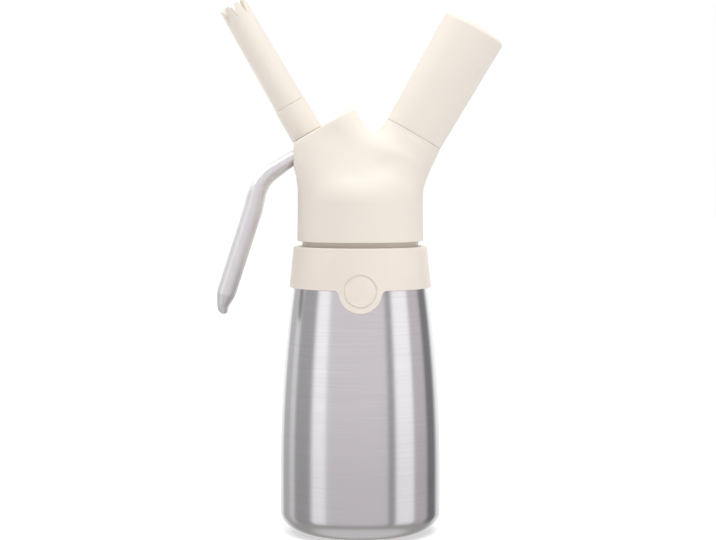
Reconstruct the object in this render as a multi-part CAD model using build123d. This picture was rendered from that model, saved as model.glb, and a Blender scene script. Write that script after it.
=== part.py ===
"""Cream whipper of half a litre: a steel bottle, a moulded head with a lever valve, and a gas charger.

Millimetres, +Z up. The origin is the centre of the bottle's foot. The nozzle leans to -X and the
charger to +X. Stations along the two slanting axes are counted from the point of the bottle's axis
where the two would meet.
"""

import math
import os

from build123d import *

os.makedirs("parts", exist_ok=True)

# Bottle
BOTTLE_R = 40.0
BOTTLE_WALL = 0.9
FOOT_REACH = 14.0
FOOT_RISE = 10.5
STRAIGHT_HEIGHT = 30.0
TAPER_HEIGHT = 96.0
TAPER_R = 690.0
SHOULDER_R = 4.0
SHOULDER_LEDGE = 3.8
NECK_FILLET = 1.6
NECK_HEIGHT = 33.8
RIM_ROUND = 0.35

# Thread form, and the screw threads of the neck, the charger socket and the nozzle adapter
RIDGE_ROOT_SHARE = 0.5
RIDGE_CREST_SHARE = 0.22
RIDGE_SINK = 0.15
THREAD_PLAY = 0.3
NECK_PITCH = 4.0
NECK_THREAD_DEPTH = 1.3
NECK_THREAD_TURNS = 2.25
NECK_THREAD_BELOW_RIM = 3.6
SOCKET_PITCH = 2.5
SOCKET_THREAD_DEPTH = 0.9
SOCKET_THREAD_TURNS = 3.5
SPIGOT_PITCH = 1.8
SPIGOT_THREAD_DEPTH = 0.55
SPIGOT_THREAD_TURNS = 4.0

# Collar ring with its round tab
COLLAR_DROP = 6.85
COLLAR_HEIGHT = 20.3
COLLAR_LIP = 1.75
COLLAR_STEP = 1.9
COLLAR_FIT = 0.15
COLLAR_EDGE = 0.5
UPSTAND_HEIGHT = 6.0
UPSTAND_WALL = 1.9
UPSTAND_PLAY = 0.35
TAB_R = 10.6
TAB_BELOW_EDGE = 0.3
TAB_FILLET = 2.5
TAB_GROOVE_R = 7.4
TAB_GROOVE_WIDTH = 0.7
TAB_GROOVE_DEPTH = 0.35

# Head gasket
GASKET_THICK = 3.0
GASKET_LIP = 0.7
GASKET_WIDTH = 4.9
PULL_TAB_LENGTH = 3.0
PULL_TAB_WIDTH = 7.0
PULL_TAB_THICK = 1.5

# Head
HEAD_GAP = 2.6
SKIRT_WALL = 4.4
SKIRT_DRAFT = 0.4
SKIRT_TOP_DROP = 2.0
CROWN_RISE = 22.0
ARM_TILT = 30.0
ARM_MEET_DEPTH = 13.7
ARM_FLARE = 5.0
ARM_ROOT = 16.0
PISTON_ARM_BLEND = 4.0
GAS_ARM_BLEND = 6.0
GAS_ARM_REACH = 53.2
PISTON_ARM_R = 16.8
PISTON_ARM_SHIFT = 9.4
ROOF_ROUND = 1.2
CHEEK_REACH = 0.07
CHEEK_WALL = 2.6
CHEEK_LOW = 17.8
CHEEK_HEEL = 14.0
CHEEK_HEEL_SUNK = 4.4
CHEEK_HEEL_R = 7.0
CHEEK_ROUND = 2.0
CHEEK_BLEND = 2.0
ROOF_THICK = 2.2
HEAD_EDGE = 0.4

# Valve, along the piston axis from the inside out
SEAT_STATION = 17.5
SEAT_BOSS_WALL = 1.8
POPPET_R = 6.4
POPPET_THICK = 2.5
POPPET_PLAY = 0.8
SEAL_THICK = 1.6
STEM_R = 3.5
STEM_WAIST_R = 2.6
STEM_WAIST_LENGTH = 5.2
STEM_BORE_R = 1.8
STEM_PORT_R = 1.0
STEM_PLAY = 0.3
STEM_GRIP = 11.0
GUIDE_LENGTH = 9.5
STEM_RING_WIRE_R = 1.2
RING_FIT = 0.05
RETAINER_THICK = 1.2
SPRING_LENGTH = 8.7
SPRING_R = 5.9
SPRING_WIRE_R = 0.5
SPRING_TURNS = 4
SPRING_PLAY = 0.05
SPRING_POCKET_PLAY = 1.1

# Nozzle adapter and decorator tip
ADAPTER_HUB_R = 5.0
ADAPTER_HUB_LENGTH = 5.5
ADAPTER_FLANGE_R = 7.2
ADAPTER_FLANGE_THICK = 2.0
ADAPTER_NECK_LENGTH = 11.6
ADAPTER_R = 8.1
ADAPTER_LENGTH = 16.8
ADAPTER_GAP = 0.5
ADAPTER_PLAY = 0.45
ADAPTER_EDGE = 0.4
PASSAGE_R = 2.6
SPIGOT_R = 5.2
SPIGOT_LENGTH = 10.0
TIP_GAP = 0.3
TIP_BASE_R = 7.7
TIP_END_R = 6.95
TIP_LENGTH = 56.6
TIP_BORE_R = 4.9
TIP_SEAL_THICK = 1.2
TIP_EDGE = 0.4
TOOTH_COUNT = 8
NOTCH_DEPTH = 7.2
NOTCH_WIDTH = 3.0
NOTCH_TURN = 41.0

# Lever
PIVOT_REACH = 17.0
PIVOT_RISE = 4.4
PIVOT_R = 1.5
PIVOT_PLAY = 0.05
PIVOT_BLIND_WALL = 4.0
LUG_R = 3.4
LUG_PLAY = 0.8
LEVER_PLAY = 0.3
FORK_SLOT_PLAY = 1.2
LEVER_SEAT_PLAY = 0.1
LEVER_TRAVEL = 10.0
LEVER_WIDTH = 15.6
LEVER_FORK_LENGTH = 48.5
LEVER_FORK_THICK = 6.2
LEVER_BEND = 42.0
LEVER_BEND_R = 26.0
LEVER_INNER_BEND_R = 10.0
LEVER_HANDLE_LENGTH = 70.0
LEVER_HANDLE_THICK = 9.6
LEVER_HANDLE_SWELL = 15.0
LEVER_SWELL_R = 12.0
LEVER_NUB_LENGTH = 10.0
LEVER_NUB_TURN = 2.6
LEVER_NUB_R = 6.0
LEVER_END_THICK = 6.0
LEVER_END_R = 2.8
NOSE_WIDTH = 10.0
NOSE_R = 3.0
LEVER_EDGE = 2.4

# Gas inlet, along the gas axis from the inside out
SOCKET_BOSS_LENGTH = 11.8
SOCKET_WALL = 1.9
SOCKET_FLANGE_LENGTH = 12.35
SOCKET_SHANK_R = 7.5
SOCKET_SHANK_LENGTH = 14.85
SOCKET_SPIGOT_R = 4.0
SOCKET_SPIGOT_LENGTH = 8.0
SOCKET_CHANNEL_R = 1.2
SOCKET_PORT_R = 0.8
SOCKET_FIT = 0.05
SOCKET_RING_WIRE_R = 0.92
SOCKET_RING_R = 9.8
INLET_POCKET_PLAY = 0.8
SLEEVE_WALL = 1.2
SLEEVE_LENGTH = 5.5
SLEEVE_FIT = 0.03
PIN_R = 1.1
PIN_BORE_R = 0.45
PIN_BASE_R = 3.2
PIN_BASE_THICK = 1.5
PIN_BITE = 1.8
PIN_PLAY = 0.3
PIN_CUT = 35.0
PIN_NUT_THICK = 1.9
NECK_SEAL_THICK = 1.5

# Gas charger of 8 grams and its holder
CHARGER_R = 9.0
CHARGER_LENGTH = 65.0
CHARGER_NECK_R = 4.3
CHARGER_NECK_LENGTH = 9.1
CHARGER_SHOULDER_LENGTH = 8.0
CHARGER_WALL = 1.5
CHARGER_END_ROUND = 7.0
CHARGER_SEATED = 9.8
CHARGER_PLAY = 0.4
CAP_THICK = 0.8
CAP_SUNK = 0.3
CAP_FIT = 0.03
HOLDER_GAP = 0.4
HOLDER_R = 15.0
HOLDER_END_R = 16.2
HOLDER_END_THICK = 4.6
HOLDER_CROWN = 2.6
HOLDER_EDGE = 1.6
HOLDER_THREAD_RELIEF = 2.0
RIB_COUNT = 6
RIB_THICK = 1.8
CHARGER_END_PLAY = 0.3

# Heights that follow from the stack of bottle, gasket and head
taper_end_z = STRAIGHT_HEIGHT + TAPER_HEIGHT
taper_angle = math.asin(TAPER_HEIGHT / TAPER_R)
shoulder_z = taper_end_z + SHOULDER_R * (1 - math.sin(taper_angle))
rim_z = shoulder_z + NECK_HEIGHT
collar_low_z = shoulder_z - COLLAR_DROP
collar_top_z = collar_low_z + COLLAR_HEIGHT
head_low_z = collar_top_z + HEAD_GAP
ceiling_z = rim_z + GASKET_THICK
skirt_top_z = ceiling_z - SKIRT_TOP_DROP
meet_z = ceiling_z - ARM_MEET_DEPTH


def taper_r(z):
    """Radius of the bottle's outside at a height of its tapering wall."""
    return BOTTLE_R - TAPER_R + math.sqrt(TAPER_R**2 - (z - STRAIGHT_HEIGHT) ** 2)


# Radii from the bottle's axis outwards
crown_r = taper_r(taper_end_z) - SHOULDER_R * math.cos(taper_angle)
neck_r = crown_r - SHOULDER_LEDGE
thread_r = neck_r + NECK_THREAD_DEPTH
head_bore_r = thread_r + THREAD_PLAY
skirt_r = head_bore_r + SKIRT_WALL
skirt_top_r = skirt_r - SKIRT_DRAFT
upstand_r = head_bore_r + UPSTAND_WALL
collar_top_r = skirt_r + COLLAR_STEP
collar_low_r = taper_r(collar_low_z) + COLLAR_LIP

# The two slanting axes: local Z runs outwards, local Y is the object's Y
lean_x = math.sin(math.radians(ARM_TILT))
lean_z = math.cos(math.radians(ARM_TILT))
PISTON_AXIS = Plane(origin=(0, 0, meet_z), x_dir=(lean_z, 0, lean_x), z_dir=(-lean_x, 0, lean_z))
GAS_AXIS = Plane(origin=(0, 0, meet_z), x_dir=(lean_z, 0, -lean_x), z_dir=(lean_x, 0, lean_z))

# Stations on the piston axis
seal_low = SEAT_STATION - SEAL_THICK
poppet_low = seal_low - POPPET_THICK
gland_low = SEAT_STATION + GUIDE_LENGTH
retainer_low = gland_low + 2 * (STEM_RING_WIRE_R + RING_FIT)
spring_low = retainer_low + RETAINER_THICK
flange_low = spring_low + SPRING_LENGTH
flange_top = flange_low + ADAPTER_FLANGE_THICK
adapter_low = flange_top + ADAPTER_NECK_LENGTH
adapter_top = adapter_low + ADAPTER_LENGTH
stem_top = adapter_low + STEM_GRIP
spigot_top = adapter_top + SPIGOT_LENGTH
tip_low = adapter_top + TIP_GAP
tip_seal_top = spigot_top + TIP_SEAL_THICK
tip_top = tip_low + TIP_LENGTH
roof = adapter_low - ADAPTER_GAP
pivot = flange_top + LEVER_SEAT_PLAY + PIVOT_RISE
piston_stroke = PIVOT_REACH * math.radians(LEVER_TRAVEL)
stem_guide_r = STEM_R + STEM_PLAY
gland_r = STEM_R + 2 * STEM_RING_WIRE_R + 2 * RING_FIT
spring_pocket_r = SPRING_R + SPRING_WIRE_R + SPRING_POCKET_PLAY
slot_half = LEVER_WIDTH / 2 + LEVER_PLAY
fork_slot_half = ADAPTER_HUB_R + LEVER_PLAY

# Stations on the gas axis
charger_low = GAS_ARM_REACH - CHARGER_SEATED
nut_top = charger_low - NECK_SEAL_THICK
nut_low = nut_top - PIN_NUT_THICK
pin_low = nut_low - PIN_BASE_THICK
socket_flange_low = GAS_ARM_REACH - SOCKET_FLANGE_LENGTH
socket_floor = socket_flange_low - 2 * SOCKET_RING_WIRE_R - RING_FIT
socket_shank_low = socket_flange_low - SOCKET_SHANK_LENGTH
socket_low = socket_shank_low - SOCKET_SPIGOT_LENGTH
socket_top = GAS_ARM_REACH + SOCKET_BOSS_LENGTH
charger_bore_r = CHARGER_R + CHARGER_PLAY
neck_bore_r = CHARGER_NECK_R + CHARGER_PLAY
boss_r = charger_bore_r + SOCKET_WALL
holder_bore_r = boss_r + SOCKET_THREAD_DEPTH + THREAD_PLAY
charger_top = charger_low + CHARGER_LENGTH
holder_low = GAS_ARM_REACH + HOLDER_GAP
holder_floor = charger_top + CHARGER_END_PLAY
holder_top = holder_floor + HOLDER_END_THICK

# Boxes and bars that stand on their foot, those that also reach ahead of it or behind it along X,
# how much longer a cut is than the wall it passes through, and how near counts as the same place
FOOT = (Align.CENTER, Align.CENTER, Align.MIN)
FOOT_AHEAD = (Align.MIN, Align.CENTER, Align.MIN)
FOOT_BEHIND = (Align.MAX, Align.CENTER, Align.MIN)
THROUGH = 3.0
NEAR = 0.01


def circles_at(body, station):
    """Circular edges of a body that lie at one station of its Z axis."""
    circles = body.edges().filter_by(GeomType.CIRCLE)
    return circles.filter_by_position(Axis.Z, station - NEAR, station + NEAR)


def rod(radius, low, high):
    """Plain cylinder about local Z between two stations."""
    return Pos(0, 0, low) * Cylinder(radius, high - low, align=FOOT)


def taper(low_r, high_r, low, high):
    """Plain cone frustum about local Z between two stations."""
    return Pos(0, 0, low) * Cone(low_r, high_r, high - low, align=FOOT)


def ring(inner_r, outer_r, low, high):
    """Flat ring about local Z."""
    return rod(outer_r, low, high) - rod(inner_r, low, high)


def turned(*outline):
    """Body of revolution about Z from a closed outline of (radius, station) points."""
    wire = Polyline(*[(r, 0, z) for r, z in outline], close=True)
    return revolve(make_face(wire.edges()), Axis.Z)


def slab(outline, half_width):
    """Flat body in the XZ plane from a closed wire, as thick as twice half_width along Y."""
    return extrude(make_face(outline.edges()), half_width, dir=(0, 1, 0), both=True)


def round_ring(major_r, wire_r, station):
    """O-ring about local Z."""
    return Pos(0, 0, station) * Torus(major_r, wire_r)


def thread_ridge(root_r, depth, pitch, turns):
    """One helical ridge of trapezoid section on a cylinder of root_r, starting at z = 0."""
    root_half = pitch * RIDGE_ROOT_SHARE / 2
    crest_half = pitch * RIDGE_CREST_SHARE / 2
    inner, outer = root_r - RIDGE_SINK, root_r + depth
    corners = [(inner, -root_half), (outer, -crest_half), (outer, crest_half), (inner, root_half)]
    edges = [Pos(0, 0, z) * Edge.make_helix(pitch, pitch * turns, r) for r, z in corners]
    sides = [Face.make_surface_from_curves(edges[i - 1], edges[i]) for i in range(4)]
    ends = [Face(Wire.make_polygon([edge @ at for edge in edges])) for at in (0, 1)]
    return Solid(Shell(sides + ends))


def blended(base, addition, radius):
    """The two bodies joined, with every edge where they meet rounded."""
    joined = base + addition
    return fillet(new_edges(base, addition, combined=joined), radius)


def bottle_outline(inset):
    """Solid of the bottle's outside, drawn in by inset on every wall."""
    foot_r = BOTTLE_R - FOOT_REACH
    taper_centre = (BOTTLE_R - TAPER_R, STRAIGHT_HEIGHT)
    taper_end = math.degrees(taper_angle)
    shoulder_centre = (crown_r, shoulder_z - SHOULDER_R)
    floor = Line((0, inset), (foot_r, inset))
    foot_centre = (foot_r, FOOT_RISE)
    foot = EllipticalCenterArc(foot_centre, FOOT_REACH - inset, FOOT_RISE - inset, 270, arc_size=90)
    wall = Line(foot @ 1, (BOTTLE_R - inset, STRAIGHT_HEIGHT))
    taper_arc = CenterArc(taper_centre, TAPER_R - inset, 0, taper_end)
    shoulder = CenterArc(shoulder_centre, SHOULDER_R - inset, taper_end, 90 - taper_end)
    root = CenterArc((neck_r + NECK_FILLET, shoulder_z + NECK_FILLET), NECK_FILLET + inset, 270, -90)
    ledge = Line(shoulder @ 1, root @ 0)
    neck = Line(root @ 1, (neck_r - inset, rim_z))
    closing = Polyline(neck @ 1, (0, rim_z), (0, inset))
    outline = [floor, foot, wall, taper_arc, shoulder, ledge, root, neck]
    edges = outline + list(closing.edges())
    return revolve(make_face([Plane.XZ * edge for edge in edges]), Axis.Z)


def bottle_shell():
    shell = bottle_outline(0) - bottle_outline(BOTTLE_WALL)
    shell = fillet(circles_at(shell, rim_z), RIM_ROUND)
    thread_low = rim_z - NECK_THREAD_BELOW_RIM - NECK_PITCH * NECK_THREAD_TURNS
    return shell + Pos(0, 0, thread_low) * thread_ridge(
        neck_r, NECK_THREAD_DEPTH, NECK_PITCH, NECK_THREAD_TURNS
    )


def collar_cone(low_z, inset):
    """Solid cone of the collar's outside, carried on down to low_z and drawn in by inset."""
    slope = (collar_low_r - collar_top_r) / COLLAR_HEIGHT
    low_r = collar_low_r + slope * (collar_low_z - low_z)
    return taper(low_r - inset, collar_top_r - inset, low_z, collar_top_z)


def front_disc(radius, centre_z):
    """Round bar from the bottle's axis out through the front."""
    return Pos(0, 0, centre_z) * Rot(90, 0, 0) * Cylinder(radius, 2 * BOTTLE_R, align=FOOT)


def tab_outline(tab_z):
    """Front view of the tab: a disc that runs into the collar's lower edge with two small fillets."""
    band = Rectangle(THROUGH * TAB_R, COLLAR_HEIGHT / 2, align=(Align.CENTER, Align.MIN))
    sketch = Pos(0, collar_low_z) * band + Pos(0, tab_z) * Circle(TAB_R)
    corners = [v for v in sketch.vertices() if v.Y < collar_low_z + NEAR and abs(v.X) < TAB_R + NEAR]
    return fillet(corners, TAB_FILLET)


def collar_ring():
    tab_z = collar_low_z - TAB_BELOW_EDGE
    tab_skin = collar_cone(tab_z - 2 * TAB_R, 0)
    tab = tab_skin & extrude(Plane.XZ * tab_outline(tab_z), 2 * BOTTLE_R)
    collar = collar_cone(collar_low_z, 0) + tab
    top_edge = collar.edges().filter_by(GeomType.CIRCLE).sort_by(Axis.Z)[-1]
    collar = fillet(top_edge, COLLAR_EDGE)
    collar += rod(upstand_r, collar_top_z - UPSTAND_HEIGHT, collar_top_z + UPSTAND_HEIGHT)
    collar -= bottle_outline(-COLLAR_FIT)
    collar -= rod(head_bore_r, shoulder_z - SHOULDER_R, rim_z)
    groove = front_disc(TAB_GROOVE_R + TAB_GROOVE_WIDTH, tab_z) - front_disc(TAB_GROOVE_R, tab_z)
    return collar - (groove & (tab_skin - collar_cone(tab_z - 2 * TAB_R, TAB_GROOVE_DEPTH)))


def head_gasket():
    outer_r = head_bore_r - GASKET_LIP
    inner_r = outer_r - GASKET_WIDTH
    gasket = ring(inner_r, outer_r, rim_z, ceiling_z)
    tab_reach = PULL_TAB_LENGTH + GASKET_WIDTH / 2
    tab = Box(tab_reach, PULL_TAB_WIDTH, PULL_TAB_THICK, align=FOOT_AHEAD)
    return gasket + Pos(inner_r - PULL_TAB_LENGTH, 0, rim_z) * tab


def crown():
    """Skirt of the head with its rounded top, as a solid."""
    foot = Line((0, head_low_z), (skirt_r, head_low_z))
    side = Line(foot @ 1, (skirt_top_r, skirt_top_z))
    dome = EllipticalCenterArc((0, skirt_top_z), skirt_top_r, CROWN_RISE, 0, arc_size=90)
    closing = Line(dome @ 1, foot @ 0)
    body = revolve(make_face([Plane.XZ * edge for edge in (foot, side, dome, closing)]), Axis.Z)
    return fillet(circles_at(body, head_low_z), HEAD_EDGE)


def arm(axis, radius, shift, reach):
    """Flaring round arm along one of the slanting axes."""
    root_r = radius + math.tan(math.radians(ARM_FLARE)) * (reach - ARM_ROOT)
    return axis * Pos(shift, 0, 0) * taper(root_r, radius, ARM_ROOT, reach)


def cheeks():
    """Block on the left of the piston arm whose two cheeks hide the lever's fork."""
    side_x = (PISTON_ARM_SHIFT - PISTON_ARM_R) * lean_z - roof * lean_x - CHEEK_REACH
    roof_rise = lean_x / lean_z
    roof_left_z = meet_z + roof / lean_z + side_x * roof_rise
    inner_x = PISTON_ARM_SHIFT * lean_z - roof * lean_x
    inner_z = roof_left_z + (inner_x - side_x) * roof_rise
    heel_z = skirt_top_z + CHEEK_LOW
    outline = FilletPolyline(
        (side_x, 0, roof_left_z),
        (side_x, 0, heel_z),
        (CHEEK_HEEL_SUNK - skirt_top_r, 0, heel_z - CHEEK_HEEL),
        (inner_x, 0, heel_z - CHEEK_HEEL),
        (inner_x, 0, inner_z),
        radius=[0, CHEEK_HEEL_R, 0, 0, 0],
        close=True,
    )
    block = slab(outline, slot_half + CHEEK_WALL)
    upright = block.edges().filter_by(Axis.Z).sort_by(Axis.X)[:2]
    return fillet(upright, CHEEK_ROUND)


def head_outside():
    """The head's outer form, solid, before it is hollowed."""
    body = blended(crown(), arm(GAS_AXIS, HOLDER_R, 0, GAS_ARM_REACH), GAS_ARM_BLEND)
    body = blended(body, arm(PISTON_AXIS, PISTON_ARM_R, PISTON_ARM_SHIFT, roof), PISTON_ARM_BLEND)
    body = blended(body, cheeks(), CHEEK_BLEND)
    along = Axis(PISTON_AXIS.origin, PISTON_AXIS.z_dir)
    top = body.faces().filter_by(along).sort_by(along)[-1]
    return fillet(top.outer_wire().edges(), ROOF_ROUND)


def lever_pocket():
    """Space for the lever's fork inside the piston arm, open to the left, where its floor falls away."""
    low = flange_top - piston_stroke - LEVER_PLAY
    high = roof - ROOF_THICK
    right = PIVOT_REACH + LUG_R + LUG_PLAY
    left = -THROUGH * skirt_r
    fall = math.radians(LEVER_TRAVEL)
    under_pivot = pivot - (LEVER_FORK_THICK / 2 + LEVER_PLAY) / math.cos(fall)
    brink = PIVOT_REACH - (under_pivot - low) / math.tan(fall)
    floor = [(left, 0, low - (brink - left) * math.tan(fall)), (brink, 0, low), (right, 0, low)]
    outline = Polyline(*floor, (right, 0, high), (left, 0, high), close=True)
    return slab(outline, slot_half)


def nozzle_mouth():
    """Hole in the roof that the adapter sinks into, open to the left."""
    mouth_r = ADAPTER_R + ADAPTER_PLAY
    notch = Box(THROUGH * skirt_r, 2 * mouth_r, roof, align=FOOT_BEHIND)
    return rod(mouth_r, pivot, roof + ROOF_THICK) + Pos(0, 0, pivot) * notch


def pivot_hole(radius, front_y, back_y):
    """Bar along Y at the lever's pivot, in the piston axis's own frame."""
    length = back_y - front_y
    return Pos(PIVOT_REACH, back_y, pivot) * Rot(90, 0, 0) * Cylinder(radius, length, align=FOOT)


def arm_half_depth():
    """Half the depth of the piston arm where the pivot pin crosses it."""
    side = PIVOT_REACH - PISTON_ARM_SHIFT
    return math.sqrt(PISTON_ARM_R**2 - side**2)


def head_body():
    body = head_outside()
    body -= rod(head_bore_r, head_low_z, ceiling_z)
    body -= rod(upstand_r + UPSTAND_PLAY, head_low_z, collar_top_z + UPSTAND_HEIGHT + UPSTAND_PLAY)
    seat_r = POPPET_R + POPPET_PLAY
    body += PISTON_AXIS * rod(seat_r + SEAT_BOSS_WALL, SEAT_STATION, gland_low)
    body -= PISTON_AXIS * rod(seat_r, poppet_low - piston_stroke, SEAT_STATION)
    body -= PISTON_AXIS * rod(stem_guide_r, SEAT_STATION, spring_low)
    body -= PISTON_AXIS * rod(gland_r, gland_low, retainer_low)
    body -= PISTON_AXIS * rod(spring_pocket_r, retainer_low, flange_top)
    body -= PISTON_AXIS * lever_pocket()
    body -= PISTON_AXIS * nozzle_mouth()
    pin_front = PIVOT_BLIND_WALL - arm_half_depth()
    body -= PISTON_AXIS * pivot_hole(PIVOT_R + PIVOT_PLAY, pin_front, THROUGH * PISTON_ARM_R)
    body -= GAS_AXIS * rod(boss_r + SOCKET_THREAD_DEPTH, socket_floor, GAS_ARM_REACH)
    body -= GAS_AXIS * rod(SOCKET_SHANK_R + SOCKET_FIT, socket_shank_low, GAS_ARM_REACH)
    pocket_r = SOCKET_SPIGOT_R + SLEEVE_WALL + INLET_POCKET_PLAY
    body -= GAS_AXIS * rod(pocket_r, socket_low - SLEEVE_LENGTH, socket_shank_low)
    return body


def lever_pivot_pin():
    half = arm_half_depth()
    return PISTON_AXIS * pivot_hole(PIVOT_R, PIVOT_BLIND_WALL - half, half - PIVOT_R)


def stem_o_ring():
    middle = (gland_low + retainer_low) / 2
    return PISTON_AXIS * round_ring(STEM_R + RING_FIT + STEM_RING_WIRE_R, STEM_RING_WIRE_R, middle)


def o_ring_retainer():
    return PISTON_AXIS * ring(stem_guide_r, spring_pocket_r - RING_FIT, retainer_low, spring_low)


def quarter_turn(radius, pitch, index):
    """Point and unit tangent of a helix about Z after index quarter turns."""
    angle = index * math.pi / 2
    rise = pitch / (2 * math.pi)
    point = Vector(radius * math.cos(angle), radius * math.sin(angle), rise * angle)
    tangent = Vector(-radius * math.sin(angle), radius * math.cos(angle), rise)
    return point, tangent.normalized()


def biarc(start, end):
    """Two tangent arcs from one point and tangent to the next, meeting where both reach alike."""
    (p0, t0), (p1, t1) = start, end
    chord, turn = p1 - p0, 1 - t0.dot(t1)
    along = chord.dot(t0 + t1)
    reach = (math.sqrt(along**2 + 2 * turn * chord.dot(chord)) - along) / (2 * turn)
    middle = (p0 + p1 + (t0 - t1) * reach) / 2
    first = Edge.make_tangent_arc(p0, t0, middle)
    return [first, Edge.make_tangent_arc(middle, first % 1, p1)]


def piston_spring():
    clear_length = SPRING_LENGTH - 2 * (SPRING_WIRE_R + SPRING_PLAY)
    pitch = clear_length / SPRING_TURNS
    stops = [quarter_turn(SPRING_R, pitch, i) for i in range(4 * SPRING_TURNS + 1)]
    arcs = [arc for start, end in zip(stops, stops[1:]) for arc in biarc(start, end)]
    path = Wire(arcs)
    least = min((stops[i][0] - stops[i + 4][0]).length for i in range(len(stops) - 4))
    print(f"piston_spring: least gap between turns {least - 2 * SPRING_WIRE_R:.2f} mm")
    section = Plane(origin=path @ 0, z_dir=path % 0) * Circle(SPRING_WIRE_R)
    coil = sweep(section, path)
    return PISTON_AXIS * Pos(0, 0, spring_low + SPRING_WIRE_R + SPRING_PLAY) * coil


def piston_stem():
    waist_top = SEAT_STATION + STEM_WAIST_LENGTH
    stem = rod(POPPET_R, poppet_low, seal_low) + rod(STEM_WAIST_R, seal_low, waist_top)
    stem += rod(STEM_R, waist_top, stem_top)
    port = SEAT_STATION + STEM_WAIST_LENGTH / 2
    stem -= rod(STEM_BORE_R, port - STEM_PORT_R, stem_top)
    stem -= Pos(0, 0, port) * Rot(90, 0, 0) * Cylinder(STEM_PORT_R, THROUGH * STEM_WAIST_R)
    stem -= Pos(0, 0, port) * Rot(0, 90, 0) * Cylinder(STEM_PORT_R, THROUGH * STEM_WAIST_R)
    return PISTON_AXIS * stem


def piston_seal():
    return PISTON_AXIS * ring(STEM_WAIST_R + RING_FIT, POPPET_R, seal_low, SEAT_STATION)


def nozzle_adapter():
    collar = rod(ADAPTER_R, adapter_low, adapter_top)
    collar = fillet(collar.edges().filter_by(GeomType.CIRCLE), ADAPTER_EDGE)
    adapter = rod(ADAPTER_HUB_R, flange_low - ADAPTER_HUB_LENGTH, adapter_low + ADAPTER_EDGE)
    adapter += rod(ADAPTER_FLANGE_R, flange_low, flange_top)
    adapter += collar
    adapter += rod(SPIGOT_R, adapter_top - ADAPTER_EDGE, spigot_top)
    thread_low = spigot_top - SPIGOT_PITCH * (SPIGOT_THREAD_TURNS + RIDGE_ROOT_SHARE)
    adapter += Pos(0, 0, thread_low) * thread_ridge(
        SPIGOT_R, SPIGOT_THREAD_DEPTH, SPIGOT_PITCH, SPIGOT_THREAD_TURNS
    )
    adapter -= rod(STEM_R + RING_FIT, flange_low - ADAPTER_HUB_LENGTH, stem_top)
    adapter -= rod(PASSAGE_R, stem_top, spigot_top)
    return PISTON_AXIS * adapter


def tip_notch(turn):
    """Wedge that opens one gap between two teeth of the star end."""
    half = NOTCH_WIDTH / 2
    gap = Polyline((0, -half, tip_top), (0, half, tip_top), (0, 0, tip_top - NOTCH_DEPTH), close=True)
    wedge = extrude(make_face(gap.edges()), 2 * TIP_END_R, dir=(1, 0, 0))
    return Rot(0, 0, turn) * wedge


def decorator_tip():
    tip = taper(TIP_BASE_R, TIP_END_R, tip_low, tip_top)
    tip = fillet(tip.edges().filter_by(GeomType.CIRCLE).sort_by(Axis.Z)[0], TIP_EDGE)
    tip -= rod(SPIGOT_R + SPIGOT_THREAD_DEPTH + THREAD_PLAY, tip_low, tip_seal_top)
    tip -= rod(TIP_BORE_R, tip_seal_top, tip_top)
    for index in range(TOOTH_COUNT):
        tip -= tip_notch(NOTCH_TURN + index * 360 / TOOTH_COUNT)
    return PISTON_AXIS * tip


def tip_seal():
    return PISTON_AXIS * ring(PASSAGE_R + RING_FIT, SPIGOT_R + SPIGOT_THREAD_DEPTH, spigot_top, tip_seal_top)


def lever_outline():
    """Side view of the lever in the piston axis's frame: fork, bend, swelling handle and pressing nose."""
    bend = math.radians(LEVER_BEND)
    fork_half = LEVER_FORK_THICK / 2
    run = Vector(-math.cos(bend), 0, -math.sin(bend))
    out = Vector(-math.sin(bend), 0, math.cos(bend))
    mitre = (Vector(0, 0, 1) + out).normalized() * (fork_half / math.cos(bend / 2))
    corner = Vector(PIVOT_REACH - LEVER_FORK_LENGTH, 0, pivot)

    def handle(along, depth):
        """Point of the handle: how far along it, and how far in from its outer edge."""
        return corner + run * along + out * (fork_half - depth)

    nub = LEVER_HANDLE_LENGTH - LEVER_NUB_LENGTH
    points_and_radii = [
        ((PIVOT_REACH, 0, pivot + fork_half), 0),
        (corner + mitre, LEVER_BEND_R),
        (handle(nub, 0), LEVER_NUB_R),
        (handle(LEVER_HANDLE_LENGTH, LEVER_NUB_TURN), LEVER_END_R),
        (handle(LEVER_HANDLE_LENGTH, LEVER_NUB_TURN + LEVER_END_THICK), LEVER_END_R),
        (handle(nub, LEVER_HANDLE_THICK), LEVER_NUB_R),
        (handle(LEVER_HANDLE_SWELL, LEVER_HANDLE_THICK), LEVER_SWELL_R),
        (corner - mitre, LEVER_INNER_BEND_R),
        ((-NOSE_WIDTH / 2, 0, pivot - fork_half), NOSE_R),
        ((0, 0, pivot - PIVOT_RISE), NOSE_R),
        ((NOSE_WIDTH / 2, 0, pivot - fork_half), NOSE_R),
        ((PIVOT_REACH, 0, pivot - fork_half), 0),
    ]
    points = [point for point, _ in points_and_radii]
    return FilletPolyline(*points, radius=[radius for _, radius in points_and_radii], close=True)


def lever():
    body = slab(lever_outline(), LEVER_WIDTH / 2)
    body += pivot_hole(LUG_R, -LEVER_WIDTH / 2, LEVER_WIDTH / 2)
    rims = [edge for face in body.faces().filter_by(Axis.Y) for edge in face.edges()]
    body = fillet(rims, LEVER_EDGE)
    slot = rod(fork_slot_half, 0, roof)
    slot += Box(LEVER_FORK_LENGTH, 2 * fork_slot_half, roof, align=FOOT_AHEAD)
    body -= Pos(-FORK_SLOT_PLAY, 0, 0) * slot
    body -= pivot_hole(PIVOT_R + PIVOT_PLAY, -LEVER_WIDTH, LEVER_WIDTH)
    return PISTON_AXIS * body


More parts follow.
